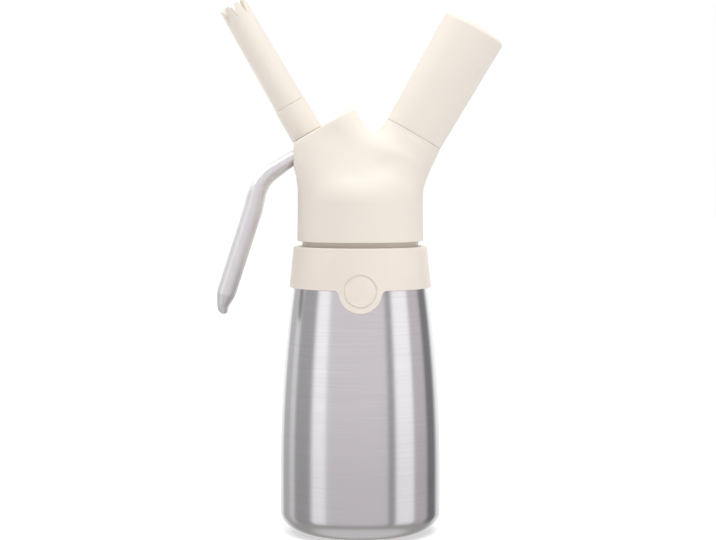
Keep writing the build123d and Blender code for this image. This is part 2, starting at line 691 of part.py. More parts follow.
def charger_profile(inset):
    """Half section of the charger's outside, drawn in by inset, without its rounded closed end."""
    shoulder_low = charger_low + CHARGER_NECK_LENGTH
    shoulder_top = shoulder_low + CHARGER_SHOULDER_LENGTH
    return [
        (CHARGER_NECK_R - inset, charger_low),
        (CHARGER_NECK_R - inset, shoulder_low),
        (CHARGER_R - inset, shoulder_top),
    ]


def charger_solid(inset, end):
    """The charger's outside as a solid, drawn in by inset and ending in a rounded bottom."""
    solid = turned((0, charger_low), *charger_profile(inset), (CHARGER_R - inset, end), (0, end))
    rim = solid.edges().filter_by(GeomType.CIRCLE).sort_by(Axis.Z)[-1]
    return fillet(rim, CHARGER_END_ROUND - inset)


def gas_charger():
    shell = charger_solid(0, charger_top) - charger_solid(CHARGER_WALL, charger_top - CHARGER_WALL)
    return GAS_AXIS * shell


def charger_cap():
    low = charger_low + CAP_SUNK
    cap_r = CHARGER_NECK_R - CHARGER_WALL - CAP_FIT
    return GAS_AXIS * ring(PIN_R + PIN_PLAY, cap_r, low, low + CAP_THICK)


def charger_socket():
    socket = rod(boss_r, GAS_ARM_REACH, socket_top)
    flange_r = boss_r + SOCKET_THREAD_DEPTH - SOCKET_FIT
    socket += rod(flange_r, socket_flange_low, GAS_ARM_REACH)
    socket += rod(SOCKET_SHANK_R, socket_shank_low, socket_flange_low)
    socket += rod(SOCKET_SPIGOT_R, socket_low, socket_shank_low)
    thread_low = socket_top - SOCKET_PITCH * (SOCKET_THREAD_TURNS + RIDGE_ROOT_SHARE)
    socket += Pos(0, 0, thread_low) * thread_ridge(
        boss_r, SOCKET_THREAD_DEPTH, SOCKET_PITCH, SOCKET_THREAD_TURNS
    )
    throat = charger_profile(-CHARGER_PLAY)[1:]
    chamber_top = [(charger_bore_r, socket_top), (0, socket_top)]
    socket -= turned((0, nut_low), (neck_bore_r, nut_low), *throat, *chamber_top)
    socket -= rod(PIN_BASE_R + SOCKET_FIT, pin_low, nut_low)
    socket -= rod(SOCKET_CHANNEL_R, socket_low + SOCKET_CHANNEL_R, pin_low)
    port = socket_low + SLEEVE_LENGTH / 2
    socket -= Pos(0, 0, port) * Rot(90, 0, 0) * Cylinder(SOCKET_PORT_R, THROUGH * SOCKET_SPIGOT_R)
    return GAS_AXIS * socket


def socket_o_ring():
    middle = (socket_floor + socket_flange_low) / 2
    return GAS_AXIS * round_ring(SOCKET_RING_R, SOCKET_RING_WIRE_R, middle)


def piercing_pin():
    point = charger_low + PIN_BITE
    pin = rod(PIN_BASE_R, pin_low, nut_low) + rod(PIN_R, nut_low, point)
    cut = THROUGH * PIN_BASE_R
    slope = Rot(0, PIN_CUT, 0) * Box(cut, cut, cut, align=FOOT)
    pin -= Pos(0, 0, point - PIN_R * math.tan(math.radians(PIN_CUT))) * slope
    return GAS_AXIS * (pin - rod(PIN_BORE_R, pin_low, point))


def pin_nut():
    return GAS_AXIS * ring(PIN_R + PIN_PLAY, neck_bore_r - SOCKET_FIT, nut_low, nut_top)


def charger_neck_seal():
    return GAS_AXIS * ring(PIN_R + PIN_PLAY, neck_bore_r - SOCKET_FIT, nut_top, charger_low)


def non_return_valve():
    inner_r = SOCKET_SPIGOT_R + SLEEVE_FIT
    return GAS_AXIS * ring(inner_r, inner_r + SLEEVE_WALL, socket_low, socket_low + SLEEVE_LENGTH)


def charger_holder():
    holder = taper(HOLDER_R, HOLDER_END_R, holder_low, holder_top)
    sphere_r = (HOLDER_END_R**2 + HOLDER_CROWN**2) / (2 * HOLDER_CROWN)
    bulge = Pos(0, 0, holder_top + HOLDER_CROWN - sphere_r) * Sphere(sphere_r)
    holder += bulge & rod(HOLDER_END_R, holder_top, holder_top + HOLDER_CROWN)
    holder = fillet(circles_at(holder, holder_top), HOLDER_EDGE)
    holder = fillet(circles_at(holder, holder_low), HEAD_EDGE)
    thread_end = socket_top + HOLDER_THREAD_RELIEF
    holder -= rod(holder_bore_r, holder_low, thread_end)
    hollow = rod(holder_bore_r, thread_end, holder_floor)
    rib = Box(holder_bore_r, RIB_THICK, holder_floor - thread_end, align=FOOT_AHEAD)
    for index in range(RIB_COUNT):
        hollow -= Rot(0, 0, index * 360 / RIB_COUNT) * Pos(charger_bore_r, 0, thread_end) * rib
    return GAS_AXIS * (holder - hollow)


PIECES = [
    bottle_shell,
    collar_ring,
    head_gasket,
    head_body,
    lever_pivot_pin,
    stem_o_ring,
    o_ring_retainer,
    piston_spring,
    piston_stem,
    piston_seal,
    nozzle_adapter,
    decorator_tip,
    tip_seal,
    lever,
    charger_socket,
    socket_o_ring,
    piercing_pin,
    pin_nut,
    charger_neck_seal,
    non_return_valve,
    gas_charger,
    charger_cap,
    charger_holder,
]

for piece in PIECES:
    export_step(piece(), f"parts/{piece.__name__}.step")
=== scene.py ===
"""Cream whipper: surfaces worked out with numpy, finishes and a plain studio around the packed model.

Metres, +Z up. The origin is the centre of the bottle's foot, and the front faces -Y. The nozzle leans
to -X and the gas charger to +X, on two axes that would meet on the bottle's own axis.
"""

import math
from functools import partial

import bpy
import numpy as np
from bpy.props import FloatProperty, FloatVectorProperty, IntProperty, PointerProperty
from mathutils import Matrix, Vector


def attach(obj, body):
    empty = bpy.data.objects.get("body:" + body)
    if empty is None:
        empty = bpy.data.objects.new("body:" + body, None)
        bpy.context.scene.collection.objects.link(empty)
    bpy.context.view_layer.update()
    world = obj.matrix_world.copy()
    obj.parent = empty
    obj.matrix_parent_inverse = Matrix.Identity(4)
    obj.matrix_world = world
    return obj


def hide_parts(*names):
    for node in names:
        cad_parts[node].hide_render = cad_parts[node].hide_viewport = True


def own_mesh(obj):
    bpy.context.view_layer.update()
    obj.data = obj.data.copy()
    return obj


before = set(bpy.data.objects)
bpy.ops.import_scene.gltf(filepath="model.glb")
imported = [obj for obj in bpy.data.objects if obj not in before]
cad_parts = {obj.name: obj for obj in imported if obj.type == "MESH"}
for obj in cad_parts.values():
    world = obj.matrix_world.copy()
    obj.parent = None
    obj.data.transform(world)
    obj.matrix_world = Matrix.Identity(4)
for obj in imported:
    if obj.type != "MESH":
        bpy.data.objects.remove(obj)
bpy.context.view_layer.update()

bl_info = {
    "name": "Cream Whipper",
    "version": (1, 0, 0),
    "blender": (4, 5, 0),
    "location": "3D View > Sidebar > Whipper",
    "description": "Dresses the packed cream whipper and sets it in a plain studio",
    "category": "Add Mesh",
}

MM = 0.001
MEET_HEIGHT = 152.5435 * MM
LEAN = math.radians(30)
SINE, COSINE = math.sin(LEAN), math.cos(LEAN)
NOZZLE, GAS = -1, 1
ROUND = 192
SHARP_FROM = math.radians(38)


def amount(name, description, default, **more):
    """A number from 0 up, unless another limit is given."""
    return FloatProperty(name=name, description=description, default=default, **{"min": 0, **more})


def length(name, description, millimetres):
    """A size in metres, given in millimetres."""
    return amount(name, description, millimetres * MM, unit="LENGTH", precision=5)


def factor(name, description, default):
    """A share between 0 and 1."""
    return amount(name, description, default, max=1, subtype="FACTOR")


def colour(name, description, *tone):
    """A linear colour."""
    return FloatVectorProperty(
        name=name, description=description, default=tone, min=0, max=1, subtype="COLOR"
    )


def place(name, description, *point):
    """A point in the object's frame, given in millimetres."""
    metres = [value * MM for value in point]
    return FloatVectorProperty(
        name=name, description=description, default=metres, subtype="XYZ", unit="LENGTH"
    )


class BottleSizes(bpy.types.PropertyGroup):
    """Sizes and finish of the steel bottle."""

    foot_radius: length("Radius", "Radius of the straight wall above the foot", 40.0)
    wall: length("Wall", "Thickness of the drawn steel", 0.9)
    foot_reach: length("Foot reach", "How far the foot's curve draws in", 14.0)
    foot_rise: length("Foot rise", "How high the foot's curve climbs", 10.5)
    straight: length("Straight height", "Height at which the wall starts to taper", 30.0)
    taper: length("Taper height", "Height of the tapering stretch", 96.0)
    taper_radius: length("Taper radius", "Radius of the tapering wall in side view", 690.0)
    shoulder: length("Shoulder radius", "Radius of the shoulder's turn", 4.0)
    ledge: length("Shoulder ledge", "Width of the flat from the shoulder to the neck", 3.8)
    root: length("Neck root", "Radius of the hollow where the neck rises", 1.6)
    neck: length("Neck height", "Height of the neck above the shoulder", 33.8)
    pitch: length("Thread pitch", "Rise of the neck's thread in one turn", 4.0)
    thread: length("Thread height", "How far the thread stands off the neck", 1.3)
    thread_drop: length("Thread drop", "From the rim down to the end of the thread", 3.6)
    thread_turns: amount("Thread turns", "Turns of the neck's thread", 2.25)
    steel: colour("Steel", "Colour of the brushed steel", 0.66, 0.645, 0.66)
    roughness: factor("Roughness", "Mean roughness of the brushed steel", 0.2)


class LeverSizes(bpy.types.PropertyGroup):
    """Sizes and finish of the lever."""

    width: length("Width", "Width of the lever across the object", 15.6)
    fork: length("Fork thickness", "Thickness of the fork and the neck of the lever", 6.2)
    handle: length("Handle thickness", "Thickness of the handle", 9.6)
    handle_length: length("Handle length", "From the bend to the end", 70.0)
    bend: amount("Bend", "Turn between fork and handle", math.radians(42), subtype="ANGLE")
    squareness: amount("Squareness", "Power of the superellipse that shapes the section", 2.5, min=2)
    metal: colour("Metal", "Colour of the polished alloy", 0.86, 0.845, 0.86)
    roughness: factor("Roughness", "Mean roughness of the polished alloy", 0.44)


class PlasticSizes(bpy.types.PropertyGroup):
    """Sizes and finish of the moulded pieces."""

    tip_base: length("Tip base radius", "Radius of the decorator tip at its foot", 7.7)
    tip_end: length("Tip end radius", "Radius of the decorator tip at its star end", 6.95)
    tip_length: length("Tip length", "Length of the decorator tip", 56.8)
    teeth: IntProperty(name="Teeth", description="Teeth of the star end", default=8, min=3)
    notch_depth: length("Notch depth", "Depth of the gaps between the teeth", 7.2)
    notch_width: length("Notch width", "Width of the gaps between the teeth", 3.0)
    adapter: length("Adapter radius", "Radius of the collar under the tip", 8.1)
    holder_base: length("Holder base radius", "Radius of the charger holder where it meets the head", 15.0)
    holder_end: length("Holder end radius", "Radius of the charger holder at its end", 16.2)
    holder_crown: length("Holder crown", "How far the holder's end swells", 2.6)
    hollow: length("Hollows", "Radius of the soft hollows between the head's dome and its arms", 22.0)
    cream: colour("Cream", "Colour of the moulded plastic", 0.82, 0.75, 0.672)
    roughness: factor("Roughness", "Mean roughness of the moulded plastic", 0.36)


class StageSizes(bpy.types.PropertyGroup):
    """Camera, floor and lights."""

    camera: place("Camera", "Where the camera stands", -1.15, -940, 181)
    aim: place("Aim", "Point that the camera looks at", -1.15, 0, 130.9)
    lens: amount("Lens", "Focal length of the camera", 94.7, min=1, unit="CAMERA")
    floor: colour("Floor", "Colour of the floor", 0.9, 0.9, 0.895)
    floor_radius: length("Floor radius", "Radius of the floor's disc", 6000.0)
    key: amount("Key light", "Power of the overhead softbox", 2.3, unit="POWER")
    key_place: place("Key place", "Where the overhead softbox hangs", 150, -330, 900)
    rim: amount("Rim light", "Power of the softbox behind", 1.2, unit="POWER")
    rim_place: place("Rim place", "Where the softbox behind hangs", -560, 220, 640)
    side: amount("Side light", "Power of the softbox beside", 0.25, unit="POWER")
    side_place: place("Side place", "Where the softbox on the right stands", 640, -120, 260)
    panels: amount("Panels", "Light of the studio's upright panels", 1.28)
    fill: factor("Fill", "Share of the panels' light that falls on matt surfaces", 0.7)
    gloom: amount("Gloom", "Light between panels and ceiling", 0.45)
    ceiling: amount("Ceiling", "Light of the studio's ceiling", 1.5)
    below: amount("Below", "Light that glossy surfaces see below them", 0.75)


def grid(x, y, z):
    """Points from their three coordinates, each spread over the whole grid."""
    return np.stack(np.broadcast_arrays(x, y, z), axis=-1)


def polar(radius, turn):
    """Two coordinates of points on a circle: r cos t and r sin t."""
    return radius * np.cos(turn), radius * np.sin(turn)


def on_axis(side, across, depth, station):
    """Points in the object's frame from one slanting axis's own: across it, along Y, and along it."""
    x = across * COSINE + station * side * SINE
    z = MEET_HEIGHT - across * side * SINE + station * COSINE
    return grid(x, depth, z)


def from_axis(side, x, z):
    """How far points of the object's frame lie across one slanting axis, and along it."""
    rise = z - MEET_HEIGHT
    return x * COSINE - rise * side * SINE, x * side * SINE + rise * COSINE


def nozzle_side_view(across, station, depth):
    """Points from a side view on the nozzle's axis: across it, along it, and towards the viewer."""
    return on_axis(NOZZLE, across, -depth, station)


def arc(centre, radii, start, end, count):
    """Points of an ellipse's arc: centre plus (a cos t, b sin t), for t in degrees from start to end."""
    turn = np.radians(np.linspace(start, end, count))
    return np.stack([centre[0] + radii[0] * np.cos(turn), centre[1] + radii[1] * np.sin(turn)], axis=-1)


def circle(centre, radius, count):
    """Points of a full circle, the first not repeated at the end."""
    return arc(centre, (radius, radius), 0, 360, count + 1)[:-1]


def edge(corner, radius, start, count=5):
    """Quarter circle that rounds one corner of a section, turning by 90 degrees from start."""
    return arc(corner, (radius, radius), start, start + 90, count)


def run(start, end, count):
    """Points of a straight stretch, without its two ends."""
    share = np.linspace(0, 1, count + 2)[1:-1, None]
    return np.asarray(start) * (1 - share) + np.asarray(end) * share


def angles(count=ROUND):
    """Equal steps round a full turn."""
    return np.arange(count) * (2 * math.pi / count)


def superellipse(turn, power):
    """Points of |u|^p + |v|^p = 1: sign(c) |c|^(2/p) for the cosine and for the sine of the turn."""
    return (np.sign(way) * np.abs(way) ** (2 / power) for way in (np.cos(turn), np.sin(turn)))


def smooth_step(share):
    """A share held between 0 and 1, level at both ends: s^2 (3 - 2 s)."""
    share = np.clip(share, 0, 1)
    return share * share * (3 - 2 * share)


def smooth_union(first, second, width):
    """Lesser of two distances, less h^2 width / 4 with h = 1 - gap / width, where the gap between them is
    under the width."""
    near = np.clip(1 - np.abs(first - second) / width, 0, 1)
    return np.minimum(first, second) - near**2 * width / 4


def from_superellipse(u, v, wide, high, power):
    """Distance to |u / wide|^p + |v / high|^p = 1, as (k - 1) / |grad k| with k the p-th root of the sum, and
    the direction away from it."""
    across, up = np.abs(u) / wide, np.abs(v) / high
    share = (across**power + up**power) ** (1 / power)
    across = np.sign(u) * (across / share) ** (power - 1) / wide
    up = np.sign(v) * (up / share) ** (power - 1) / high
    steep = np.hypot(across, up)
    return (share - 1) / steep, across / steep, up / steep


# Half a thread's foot and its flank, as shares of the pitch, and the turn in which it runs out at each end
THREAD_HALF, THREAD_FLANK, THREAD_END = 0.25, 0.14, 0.12


def helix_ridge(turn, height, start, pitch, turns):
    """Share of a thread's full height: 1 on the helix whose height is start plus pitch times the turns made,
    falling smoothly to 0 on both flanks and at both ends."""
    share = turn / (2 * math.pi)
    wound = np.round((height - start) / pitch - share) + share
    off = np.abs(height - start - pitch * wound) / pitch
    ends = np.clip(np.minimum(wound, turns - wound) / THREAD_END + 0.5, 0, 1)
    return smooth_step((THREAD_HALF - off) / THREAD_FLANK) * ends


def smooth(mesh):
    """Shades a mesh smooth, except at its sharp edges."""
    mesh.polygons.foreach_set("use_smooth", np.ones(len(mesh.polygons), bool))
    mesh.set_sharp_from_angle(angle=SHARP_FROM)


def build(name, points, poles=None):
    """Piece from a grid of points that closes round its columns: rows run along a section, and the first and
    last row end in a pole each, or in each other where there are no poles."""
    rows, columns = points.shape[:2]
    index = np.arange(rows * columns).reshape(rows, columns)
    lower, upper = (index, np.roll(index, -1, axis=0)) if poles is None else (index[:-1], index[1:])
    quads = np.stack([lower, np.roll(lower, -1, axis=1), np.roll(upper, -1, axis=1), upper], axis=-1)
    faces = quads.reshape(-1, 4).tolist()
    vertices = points.reshape(-1, 3)
    if poles is not None:
        first, last = len(vertices), len(vertices) + 1
        vertices = np.concatenate([vertices, np.asarray(poles, float)])
        start, end = index[0], index[-1]
        faces += np.stack([np.full(columns, first), np.roll(start, -1), start], axis=-1).tolist()
        faces += np.stack([np.full(columns, last), end, np.roll(end, -1)], axis=-1).tolist()
    mesh = bpy.data.meshes.new(name)
    mesh.from_pydata(vertices.tolist(), [], faces)
    smooth(mesh)
    piece = bpy.data.objects.new(name, mesh)
    bpy.context.scene.collection.objects.link(piece)
    return piece


def spun(section):
    """A section carried round a full turn: the turn of each column, and each point's radius and height."""
    radius, height = (np.repeat(section[:, [column]], ROUND, axis=1) for column in (0, 1))
    return angles()[None, :], radius, height


def turned(name, side, section, closed, relief):
    """Body of revolution about a slanting axis: (r cos t, r sin t, s) for each (r, s) of the section, with a
    relief added to r."""
    turn, radius, station = spun(section)
    radius = radius + relief(turn, radius, station)
    points = on_axis(side, *polar(radius, turn), station)
    poles = None if closed else [on_axis(side, 0.0, 0.0, section[row, 1]) for row in (0, -1)]
    return build(name, points, poles)


def carve(piece, outline, low, high, upright):
    """Cuts the prism of a closed outline in two directions, from low to high in the third, out of a piece."""
    flat = np.broadcast_to(outline[None], (2, *outline.shape))
    levels = np.broadcast_to(np.array([low, high])[:, None], flat.shape[:2])
    middle = outline.mean(axis=0)
    poles = [upright(*(np.float64(value) for value in (*middle, level))) for level in (low, high)]
    tool = build("cutter", upright(flat[..., 0], flat[..., 1], levels), poles)
    cut = piece.modifiers.new("cut", "BOOLEAN")
    cut.operation, cut.solver, cut.object = "DIFFERENCE", "EXACT", tool
    shape = piece.evaluated_get(bpy.context.evaluated_depsgraph_get())
    spent = [piece.data, tool.data]
    piece.data = bpy.data.meshes.new_from_object(shape)
    piece.modifiers.clear()
    bpy.data.objects.remove(tool)
    for mesh in spent:
        bpy.data.meshes.remove(mesh)


def add_node(tree, kind, *inputs, output=0, **settings):
    """Adds a shader node with its settings, feeds its inputs in order, and gives one of its outputs."""
    node = tree.nodes.new(kind)
    for setting, value in settings.items():
        setattr(node, setting, value)
    for socket, value in zip(node.inputs, inputs):
        if isinstance(value, bpy.types.NodeSocket):
            tree.links.new(value, socket)
        elif value is not None:
            socket.default_value = value
    return node.outputs[output]


def add_ramp(tree, source, stops):
    """Colour that runs through stops of (position, tone)."""
    colour_out = add_node(tree, "ShaderNodeValToRGB", source)
    elements = colour_out.node.color_ramp.elements
    elements.remove(elements[1])
    for number, (position, tone) in enumerate(stops):
        stop = elements.new(position) if number else elements[0]
        stop.position, stop.color = position, (*tone, 1)
    return colour_out


class Finish:
    """Procedural material on Object coordinates."""

    NOISE_SPAN = (0.3, 0.7)
    # Shares of the base colour: painted shade within the radius, and a lighter tone outside it
    PAINTED_SHADE_SHARES = (0.86, 1.05)

    def __init__(self, name, **constants):
        self.material = bpy.data.materials.new(name)
        self.material.use_nodes = True
        self.tree = self.material.node_tree
        self.add = partial(add_node, self.tree)
        self.shader = self.tree.nodes["Principled BSDF"]
        self.place = self.add("ShaderNodeTexCoord", output="Object")
        for socket, value in constants.items():
            self.shader.inputs[socket.replace("_", " ")].default_value = value

    def feed(self, socket, source):
        """Links a source to one of the shader's sockets."""
        self.tree.links.new(source, self.shader.inputs[socket])

    def noise(self, scale, stretch=(1, 1, 1), detail=3.0):
        """Noise with features 1 / scale metres wide, drawn out along the axes where stretch is small."""
        spread = self.add("ShaderNodeMapping", self.place, None, None, stretch)
        return self.add("ShaderNodeTexNoise", spread, None, scale, detail)

    def tint(self, source, dark, light, low=0.35, high=0.65):
        """Base colour between two tones."""
        tone = add_ramp(self.tree, source, [(low, dark), (high, light)])
        self.feed("Base Color", tone)
        return tone

    def painted_recess_shade(self, tone, radius, fade):
        """Base colour with painted shade: darker within a radius of the Z axis, and in another shade outside
        it.
        """
        x, y, _ = self.add("ShaderNodeSeparateXYZ", self.place).node.outputs
        plan = self.add("ShaderNodeCombineXYZ", x, y)
        reach = self.add("ShaderNodeVectorMath", plan, operation="LENGTH", output="Value")
        share = self.add("ShaderNodeMapRange", reach, radius - fade, radius, *self.PAINTED_SHADE_SHARES)
        self.feed("Base Color", self.add("ShaderNodeVectorMath", tone, None, None, share, operation="SCALE"))

    def rough(self, source, mean, swing):
        """Roughness that swings on both sides of its mean."""
        span = self.add("ShaderNodeMapRange", source, *self.NOISE_SPAN, mean - swing, mean + swing)
        self.feed("Roughness", span)

    def bump(self, *layers):
        """Relief from layers of (source, strength, height in millimetres), each on top of the last."""
        relief = None
        for source, strength, height in layers:
            relief = self.add("ShaderNodeBump", strength, height * MM, None, source, relief)
        self.feed("Normal", relief)


def shade(tone, share):
    """A colour made darker or lighter as a whole."""
    return tuple(min(1.0, channel * share) for channel in tone)


def cream_plastic(name, painted_recess_shade=None):
    """Moulded plastic with a fine spark-eroded grain, slow shifts of tone and a soft sheen, and painted
    shade, a darker base colour, within a recess where one is given."""
    sizes = bpy.context.scene.whipper_plastic
    plastic = Finish(name, IOR=1.47)
    tone = plastic.tint(plastic.noise(38, detail=2), shade(sizes.cream, 0.975), sizes.cream)
    # Painted shade: a darker base colour within the recess's radius, where shade falls in the gap
    if painted_recess_shade is not None:
        plastic.painted_recess_shade(tone, *painted_recess_shade)
    plastic.rough(plastic.noise(700), sizes.roughness, 0.05)
    grain, flow = plastic.noise(3600, detail=2), plastic.noise(60, detail=1)
    plastic.bump((grain, 0.12, 0.03), (flow, 0.1, 0.15))
    return plastic.material


def brushed_steel(name):
    """Steel brushed round the bottle: hair lines at one height each, which draw reflections out along Z."""
    sizes = bpy.context.scene.whipper_bottle
    steel = Finish(name, Metallic=1.0, Anisotropic=0.72, Anisotropic_Rotation=0.25)
    steel.feed("Tangent", steel.add("ShaderNodeTangent", direction_type="RADIAL", axis="Z"))
    hair = steel.noise(60, stretch=(0.4, 0.4, 90), detail=6)
    broad = steel.noise(25, stretch=(0.4, 0.4, 20), detail=3)
    steel.tint(hair, shade(sizes.steel, 0.93), shade(sizes.steel, 1.04), 0.25, 0.75)
    steel.rough(broad, sizes.roughness, 0.02)
    steel.bump((hair, 0.03, 0.02))
    return steel.material


def polished_alloy(name):
    """Cast alloy, polished by hand: a faint ripple and fine lines along the lever."""
    sizes = bpy.context.scene.whipper_lever
    alloy = Finish(name, Metallic=1.0)
    lines = alloy.noise(90, stretch=(6, 22, 1), detail=4)
    ripple = alloy.noise(140, detail=1)
    alloy.tint(lines, shade(sizes.metal, 0.95), sizes.metal)
    alloy.rough(lines, sizes.roughness, 0.05)
    alloy.bump((lines, 0.02, 0.02), (ripple, 0.03, 0.05))
    return alloy.material


# Finishes of the small pieces: shader constants; the grain's scale, stretch and detail; a dark and a light
# tone; roughness and its swing; strength and height of the relief
METAL, MILKY, RUBBER = {"Metallic": 1.0}, {"IOR": 1.41, "Subsurface_Weight": 0.2}, {"IOR": 1.5}
EVEN = (1, 1, 1)
SMALL_FINISHES = {
    # Turned stainless steel with close tool marks
    "valve_steel": (
        METAL, (900, (1, 1, 4), 3), (0.5, 0.5, 0.51), (0.64, 0.64, 0.65), (0.3, 0.06), (0.08, 0.02)
    ),
    # Drawn spring wire, a little darker, with streaks from the die
    "spring_steel": (
        METAL, (1400, EVEN, 2), (0.4, 0.4, 0.42), (0.56, 0.56, 0.58), (0.34, 0.06), (0.1, 0.01)
    ),
    # Machined brass under a thin plating
    "plated_brass": (
        METAL, (1100, (1, 1, 3), 3), (0.62, 0.5, 0.3), (0.74, 0.66, 0.48), (0.28, 0.07), (0.08, 0.02)
    ),
    # Zinc-coated steel with a fine mottle
    "charger_steel": (
        METAL, (420, EVEN, 5), (0.56, 0.57, 0.58), (0.7, 0.7, 0.69), (0.36, 0.08), (0.06, 0.02)
    ),
    # Thin pressed closure with a faint crinkle
    "cap_foil": (
        METAL, (900, EVEN, 3), (0.7, 0.7, 0.7), (0.82, 0.82, 0.82), (0.32, 0.06), (0.15, 0.03)
    ),
    # Milky silicone with a dusty skin
    "silicone": (
        MILKY, (500, EVEN, 4), (0.7, 0.71, 0.71), (0.8, 0.81, 0.81), (0.58, 0.08), (0.08, 0.02)
    ),
    # Black moulded rubber with a grey bloom
    "black_rubber": (
        RUBBER, (650, EVEN, 4), (0.012, 0.012, 0.013), (0.035, 0.035, 0.037), (0.6, 0.1), (0.1, 0.02)
    ),
}
# Tones that don't follow the grain: the brass shows where its plating is thin
BLOTCHES = {"plated_brass": (220, EVEN, 4)}


def small_finish(name):
    """One of the finishes listed above, whose grain gives tone, roughness and relief."""
    constants, grain, dark, light, roughness, relief = SMALL_FINISHES[name]
    surface = Finish(name, **constants)
    marks = surface.noise(*grain)
    surface.tint(surface.noise(*BLOTCHES[name]) if name in BLOTCHES else marks, dark, light)
    surface.rough(marks, *roughness)
    surface.bump((marks, *relief))
    return surface.material


# The collar's painted shade darkens its upstand, in the gap under the head, where shade falls. With this
# pack only the collar's plastic, brushed_steel and polished_alloy are made here
LARGE_FINISHES = {
    "cream_plastic": cream_plastic,
    "collar_plastic": partial(cream_plastic, painted_recess_shade=(31.2 * MM, 0.6 * MM)),
    "brushed_steel": brushed_steel,
    "polished_alloy": polished_alloy,
}


def finish(name):
    """The material that already has that name, from the pack or an earlier use, or else a new finish."""
    return bpy.data.materials.get(name) or LARGE_FINISHES.get(name, small_finish)(name)


def dress(piece, body, slot, surface, *nodes):
    """Gives a new piece its finish, and lets it move with a body and stand for CAD nodes."""
    piece.data.materials.append(finish(surface))
    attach(piece, body)
    if nodes:
        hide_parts(*nodes)


def coat(surface, *nodes):
    """Gives CAD nodes a finish."""
    for name in nodes:
        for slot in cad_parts[name].material_slots:
            slot.material = finish(surface)


def bottle_section(sizes, inset, neck_steps):
    """Outside of the bottle in half section, drawn in by inset: floor, elliptic foot, straight wall, long
    tapering arc, shoulder, ledge, hollow root and neck. Gives the points, how many of them precede the
    neck, the neck's radius and the rim's height."""
    foot_radius = sizes.foot_radius - sizes.foot_reach
    tilt = math.asin(sizes.taper / sizes.taper_radius)
    taper_centre = (sizes.foot_radius - sizes.taper_radius, sizes.straight)
    taper_radius = sizes.taper_radius - inset
    wall_end = taper_centre[0] + sizes.taper_radius * math.cos(tilt)
    crown = wall_end - sizes.shoulder * math.cos(tilt)
    shoulder_low = sizes.straight + sizes.taper - sizes.shoulder * math.sin(tilt)
    shoulder_top = shoulder_low + sizes.shoulder
    neck = crown - sizes.ledge
    rim = shoulder_top + sizes.neck
    shoulder = sizes.shoulder - inset
    root = sizes.root + inset
    wall, leaning = sizes.foot_radius - inset, math.degrees(tilt)
    below = [
        run((0, inset), (foot_radius, inset), 10),
        arc((foot_radius, sizes.foot_rise), (sizes.foot_reach - inset, sizes.foot_rise - inset), -90, 0, 28),
        run((wall, sizes.foot_rise), (wall, sizes.straight), 6),
        arc(taper_centre, (taper_radius, taper_radius), 0, leaning, 56),
        arc((crown, shoulder_low), (shoulder, shoulder), leaning, 90, 14)[1:],
        arc((neck + sizes.root, shoulder_top + sizes.root), (root, root), 270, 180, 10),
    ]
    lip = sizes.wall / 2
    neck_points = run((neck - inset, shoulder_top + sizes.root), (neck - inset, rim - lip), neck_steps)
    before = sum(len(part) for part in below)
    return np.concatenate([*below, neck_points]), before, neck, rim


class WHIPPER_OT_bottle(bpy.types.Operator):
    """Turns the steel bottle with its wall, rolled neck thread and rounded rim"""

    bl_idname = "whipper.bottle"
    bl_label = "Bottle"

    THREAD_STEPS, INNER_STEPS = 130, 12

    def execute(self, context):
        sizes = context.scene.whipper_bottle
        outside, before_neck, neck, rim = bottle_section(sizes, 0.0, self.THREAD_STEPS)
        inside = bottle_section(sizes, sizes.wall, self.INNER_STEPS)[0]
        lip = sizes.wall / 2
        rounded_rim = arc((neck - lip, rim - lip), (lip, lip), 0, 180, 9)
        turn, radius, height = spun(np.concatenate([outside, rounded_rim, inside[::-1]]))
        thread_low = rim - sizes.thread_drop - sizes.pitch * sizes.thread_turns
        ridge = helix_ridge(turn, height, thread_low, sizes.pitch, sizes.thread_turns)
        on_neck = slice(before_neck, len(outside))
        radius[on_neck] += ridge[on_neck] * sizes.thread
        bottle = build("bottle", grid(*polar(radius, turn), height), [(0, 0, 0), (0, 0, sizes.wall)])
        dress(bottle, "bottle", "bottle_steel", "brushed_steel", "bottle_shell")
        return {"FINISHED"}


def rounded_path(corners, cuts, steps):
    """Path through corners: straight runs, and at each inner corner a parabola that starts and ends its cut's
    length away from the corner, (1-t)^2 A + 2t(1-t) C + t^2 B. Every run and parabola has the same count of
    steps, so that two such paths match point by point."""
    corners = np.asarray(corners, float)
    ahead = np.diff(corners, axis=0)
    ahead /= np.linalg.norm(ahead, axis=1, keepdims=True)
    cuts = np.asarray(cuts, float)[:, None]
    enter = corners[1:-1] - ahead[:-1] * cuts
    leave = corners[1:-1] + ahead[1:] * cuts
    starts = np.concatenate([corners[:1], leave])[:, None]
    ends = np.concatenate([enter, corners[-1:]])[:, None]
    share = np.linspace(0, 1, steps + 1)[None, :-1, None]
    runs = starts * (1 - share) + ends * share
    bows = enter[:, None] * (1 - share) ** 2
    bows = bows + 2 * share * (1 - share) * corners[1:-1, None] + share**2 * leave[:, None]
    parts = [runs[0]]
    for bow, straight in zip(bows, runs[1:]):
        parts += [bow, straight]
    return np.concatenate([*parts, corners[-1:]])


